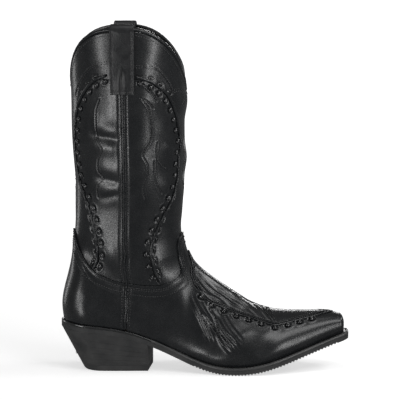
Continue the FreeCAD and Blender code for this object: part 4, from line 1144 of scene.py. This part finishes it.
# ---- bottom --------------------------------------------------------------------------------
EXTENSION = Monotone([(0, 2.4), (.2, 2.0), (.30, 2.4), (.35, 4.6), (.40, 5.2), (.5, 5.3)])
INSEAM, INSIDE, HEEL_BREAST = -4.9, -4.7, -57.0
WELT_ROW, WELT_PITCH, SOCK_TOP, SOCK_LOW = 2.15, 3.6, 5.6, 3.1
RIM_LOW, ROUND_LOW = 2.5, .4         # depth of the ring below the feather edge, its lower rounding


def sweep(piece, sections):
    """Closed solid from sections (n, k, 3), each a closed loop."""
    n, k = sections.shape[:2]
    ring, ends = np.arange(k), sections[[0, -1]].mean(1)
    a, b = sections[n // 2:n // 2 + 2]
    middle = a.mean(0)
    flip = np.dot(np.cross(a[0] - middle, a[1] - middle), b.mean(0) - middle) < 0
    quads = [grid_quads(n, k, 0, not flip, wrap=True), fan(ring, n * k, not flip),
             fan((n - 1) * k + ring, n * k + 1, flip)]
    piece.add(np.concatenate([sections.reshape(-1, 3), ends]), np.concatenate(quads))


def beside_edge(u, distance, drop):
    """Points a distance outside the feather edge and a drop below it."""
    p = skin(u, 0 * u) + normal(u, 0 * u) * np.broadcast_to(distance, len(u))[:, None]
    p[:, 2] = FEATHER_Z(p[:, 0]) - drop
    return p


def rim_profile(u, extension, round_top, groove):
    """Cross sections of the ring under the feather edge: a rounded outer edge and stitch groove."""
    outline = [(INSEAM, .1), (-2.0, .1), (-.5, .1), (.3, .1)]
    for off, deep in ((-2.9, 0.0), (-2.5, groove), (-1.8, groove), (-1.4, 0.0)):
        outline.append((np.maximum(extension + off, .4), .1 + deep))
    for turn in np.radians([0, 22, 45, 68, 90]):
        outline.append((extension - round_top * (1 - np.sin(turn)), .1 + round_top * (1 - np.cos(turn))))
    for turn in np.radians([0, 45, 90]):
        outline.append((extension - ROUND_LOW * (1 - np.cos(turn)), RIM_LOW - ROUND_LOW * (1 - np.sin(turn))))
    outline += [(-2.0, RIM_LOW), (INSEAM, RIM_LOW)]
    return np.stack([beside_edge(u, distance, drop) for distance, drop in outline], 1)


def u_of_side_x(x):
    u = np.linspace(HEEL_END, TOE_END, 4000)
    return float(np.interp(x, SIDE_RUN(u), u))


def ring(name, u, round_top, groove, material):
    piece = Piece(name + "_leather")
    sweep(piece, rim_profile(u, EXTENSION(fold(u)), round_top, groove))
    piece.build([material], [name], 40)


def welt_stitches():
    u = np.linspace(.30, .70, 1600)
    p, _ = resample(beside_edge(u, EXTENSION(fold(u)) - WELT_ROW, .15), WELT_PITCH)
    run = np.diff(p, axis=0)
    rise = np.broadcast_to([0, 0, 1.0], run.shape)
    piece = Piece("welt_stitches")
    axes = np.stack([unit(np.cross(run, rise)) * .55, rise * .5, run * .4], 1)
    blobs(piece, (p[1:] + p[:-1]) / 2, axes, 0, 6, 9, BLUNT)
    piece.build([THREADED], ["welt_stitching"])


def sock_lining():
    u = np.linspace(0, 1, 181)[:-1]
    edge = beside_edge(u, INSIDE - .3, 0.0)[:, :2]
    centre_x = np.clip(edge[:, 0], -125, 118)
    spine = np.stack([centre_x, 0 * centre_x], 1)
    tops, lows = [], []
    for r in (1.0, .992, .975, .94, .88, .78, .64, .48, .3, .12):
        xy = mix(spine, edge, r)
        soft = .9 * (1 - min(1, (1 - r) / .03)) ** 2 + .1 * (1 + .25 * math.sin(6 * r))
        for rows, height in ((tops, SOCK_TOP - soft), (lows, SOCK_LOW)):
            rows.append(np.column_stack([xy, FEATHER_Z(xy[:, 0]) + height]))
    shell = np.stack(tops + lows[::-1], 1)
    n, k = shell.shape[:2]
    piece = Piece("sock_lining_leather")
    piece.add(shell, grid_quads(n + 1, k, 0, True) % (n * k))
    piece.build([LINED], ["sock_lining"])


def bottom():
    joint = u_of_side_x(HEEL_BREAST + .1)
    # the welt gets the lighter colour, a painted highlight along its top edge
    ring("welt", np.linspace(joint, 1 - joint, 520), 1.3, .35, EDGE)
    joint = u_of_side_x(HEEL_BREAST)
    ring("heel_rand", np.linspace(-joint, joint, 320), 1.1, 0.0, GLOSSY)
    welt_stitches()
    sock_lining()


HEEL_NODES = ["heel_lift_%d" % i for i in range(1, 6)]
for node, material, slot_name in (
        [(n, STACK, "sole_leather") for n in HEEL_NODES]
        + [("heel_cap", RUBBER, "sole_rubber"), ("outsole", RUBBER, "sole_rubber"),
           ("insole", BOARD, "fibreboard"), ("toe_box", BOARD, "fibreboard"),
           ("counter_stiffener", BOARD, "fibreboard"), ("shank", STEEL, "steel"),
           ("cork_filler", CORK, "cork"), ("heel_nails", STEEL, "steel")]):
    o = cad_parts[node]
    o.data.materials.clear()
    o.data.materials.append(material)

shaft_panel(True)
shaft_panel(False)
linings()
vamp()
counter()
plug()
overlays()
arch_cords()
arch_lacings()
plug_seam()
pipings()
binding()
straps()
bottom()

# ---- studio --------------------------------------------------------------------------------
scene = bpy.context.scene
scene.view_settings.view_transform = "Standard"
scene.view_settings.look = "None"

world = bpy.data.worlds.new("studio")
scene.world = world
world.use_nodes = True
fill(world.node_tree.nodes["Background"], Color=(1, 1, 1, 1), Strength=.14)

floor_mesh = bpy.data.meshes.new("floor")
floor_mesh.from_pydata([(-40, -40, 0), (40, -40, 0), (40, 40, 0), (-40, 40, 0)], [], [(0, 1, 2, 3)])
floor = add_object("floor", floor_mesh)
floor.visible_glossy = False
floor.visible_shadow = False
paper = bpy.data.materials.new("pale_paper")
paper.use_nodes = True
nodes, links = paper.node_tree.nodes, paper.node_tree.links
shader = nodes["Principled BSDF"]
fill(shader, Base_Color=(.8, .8, .8, 1), Roughness=.9, Specular_IOR_Level=.1, Emission_Color=(1, 1, 1, 1))
where = nodes.new("ShaderNodeTexCoord")
far = nodes.new("ShaderNodeVectorMath")
far.operation = "LENGTH"
links.new(where.outputs["Object"], far.inputs[0])
glow = ranged(paper.node_tree, far.outputs["Value"], .62, 1.05, .3, 3.0)
glow.interpolation_type = "SMOOTHSTEP"
links.new(glow.outputs["Result"], shader.inputs["Emission Strength"])
floor_mesh.materials.append(paper)


def soft_light(name, where, to, size, radiance):
    """A soft box whose face has the given radiance."""
    data = bpy.data.lights.new(name, "AREA")
    data.shape = "RECTANGLE"
    data.size, data.size_y = size
    data.energy = radiance * math.pi * size[0] * size[1]
    o = add_object(name, data)
    o.location = where
    o.rotation_mode = "QUATERNION"
    o.rotation_quaternion = Vector(np.array(where) - np.array(to)).to_track_quat("Z", "Y")


soft_light("key", (-1.45, -1.16, .19), (0, 0, .3), (.40, .36), 7)
soft_light("low", (-1.1, -1.5, -.17), (0, 0, .22), (.42, .36), 9.5)
soft_light("side", (1.3, -1.22, .26), (0, 0, .25), (.3, .76), 8)
soft_light("over", (-.02, -.28, 2.1), (0, 0, .1), (1.2, .6), 2)
soft_light("rim", (-1.8, 1.3, .45), (0, 0, .2), (.35, 1.3), 2.5)
soft_light("top", (1.0, -1.1, 1.6), (.1, 0, .05), (.9, .7), 4.3)
soft_light("instep", (1.5, .2, 1.7), (.05, 0, .1), (.7, .6), 7)
soft_light("back", (.25, 2.0, .64), (.05, 0, .06), (.9, .26), 6)

camera_data = bpy.data.cameras.new("camera")
camera = add_object("camera", camera_data)
camera_data.sensor_width = 36
camera_data.lens = 187.6
target = np.array([-5.278, 0.0, 178.5]) * MM
tilt, away = math.radians(7.0), 2.2
back_way = np.array([0, -math.cos(tilt), math.sin(tilt)])
camera.location = target + back_way * away
camera.rotation_mode = "XYZ"
camera.rotation_euler = (math.radians(90) - tilt, 0, 0)
camera_data.clip_start, camera_data.clip_end = .05, 100
scene.camera = camera
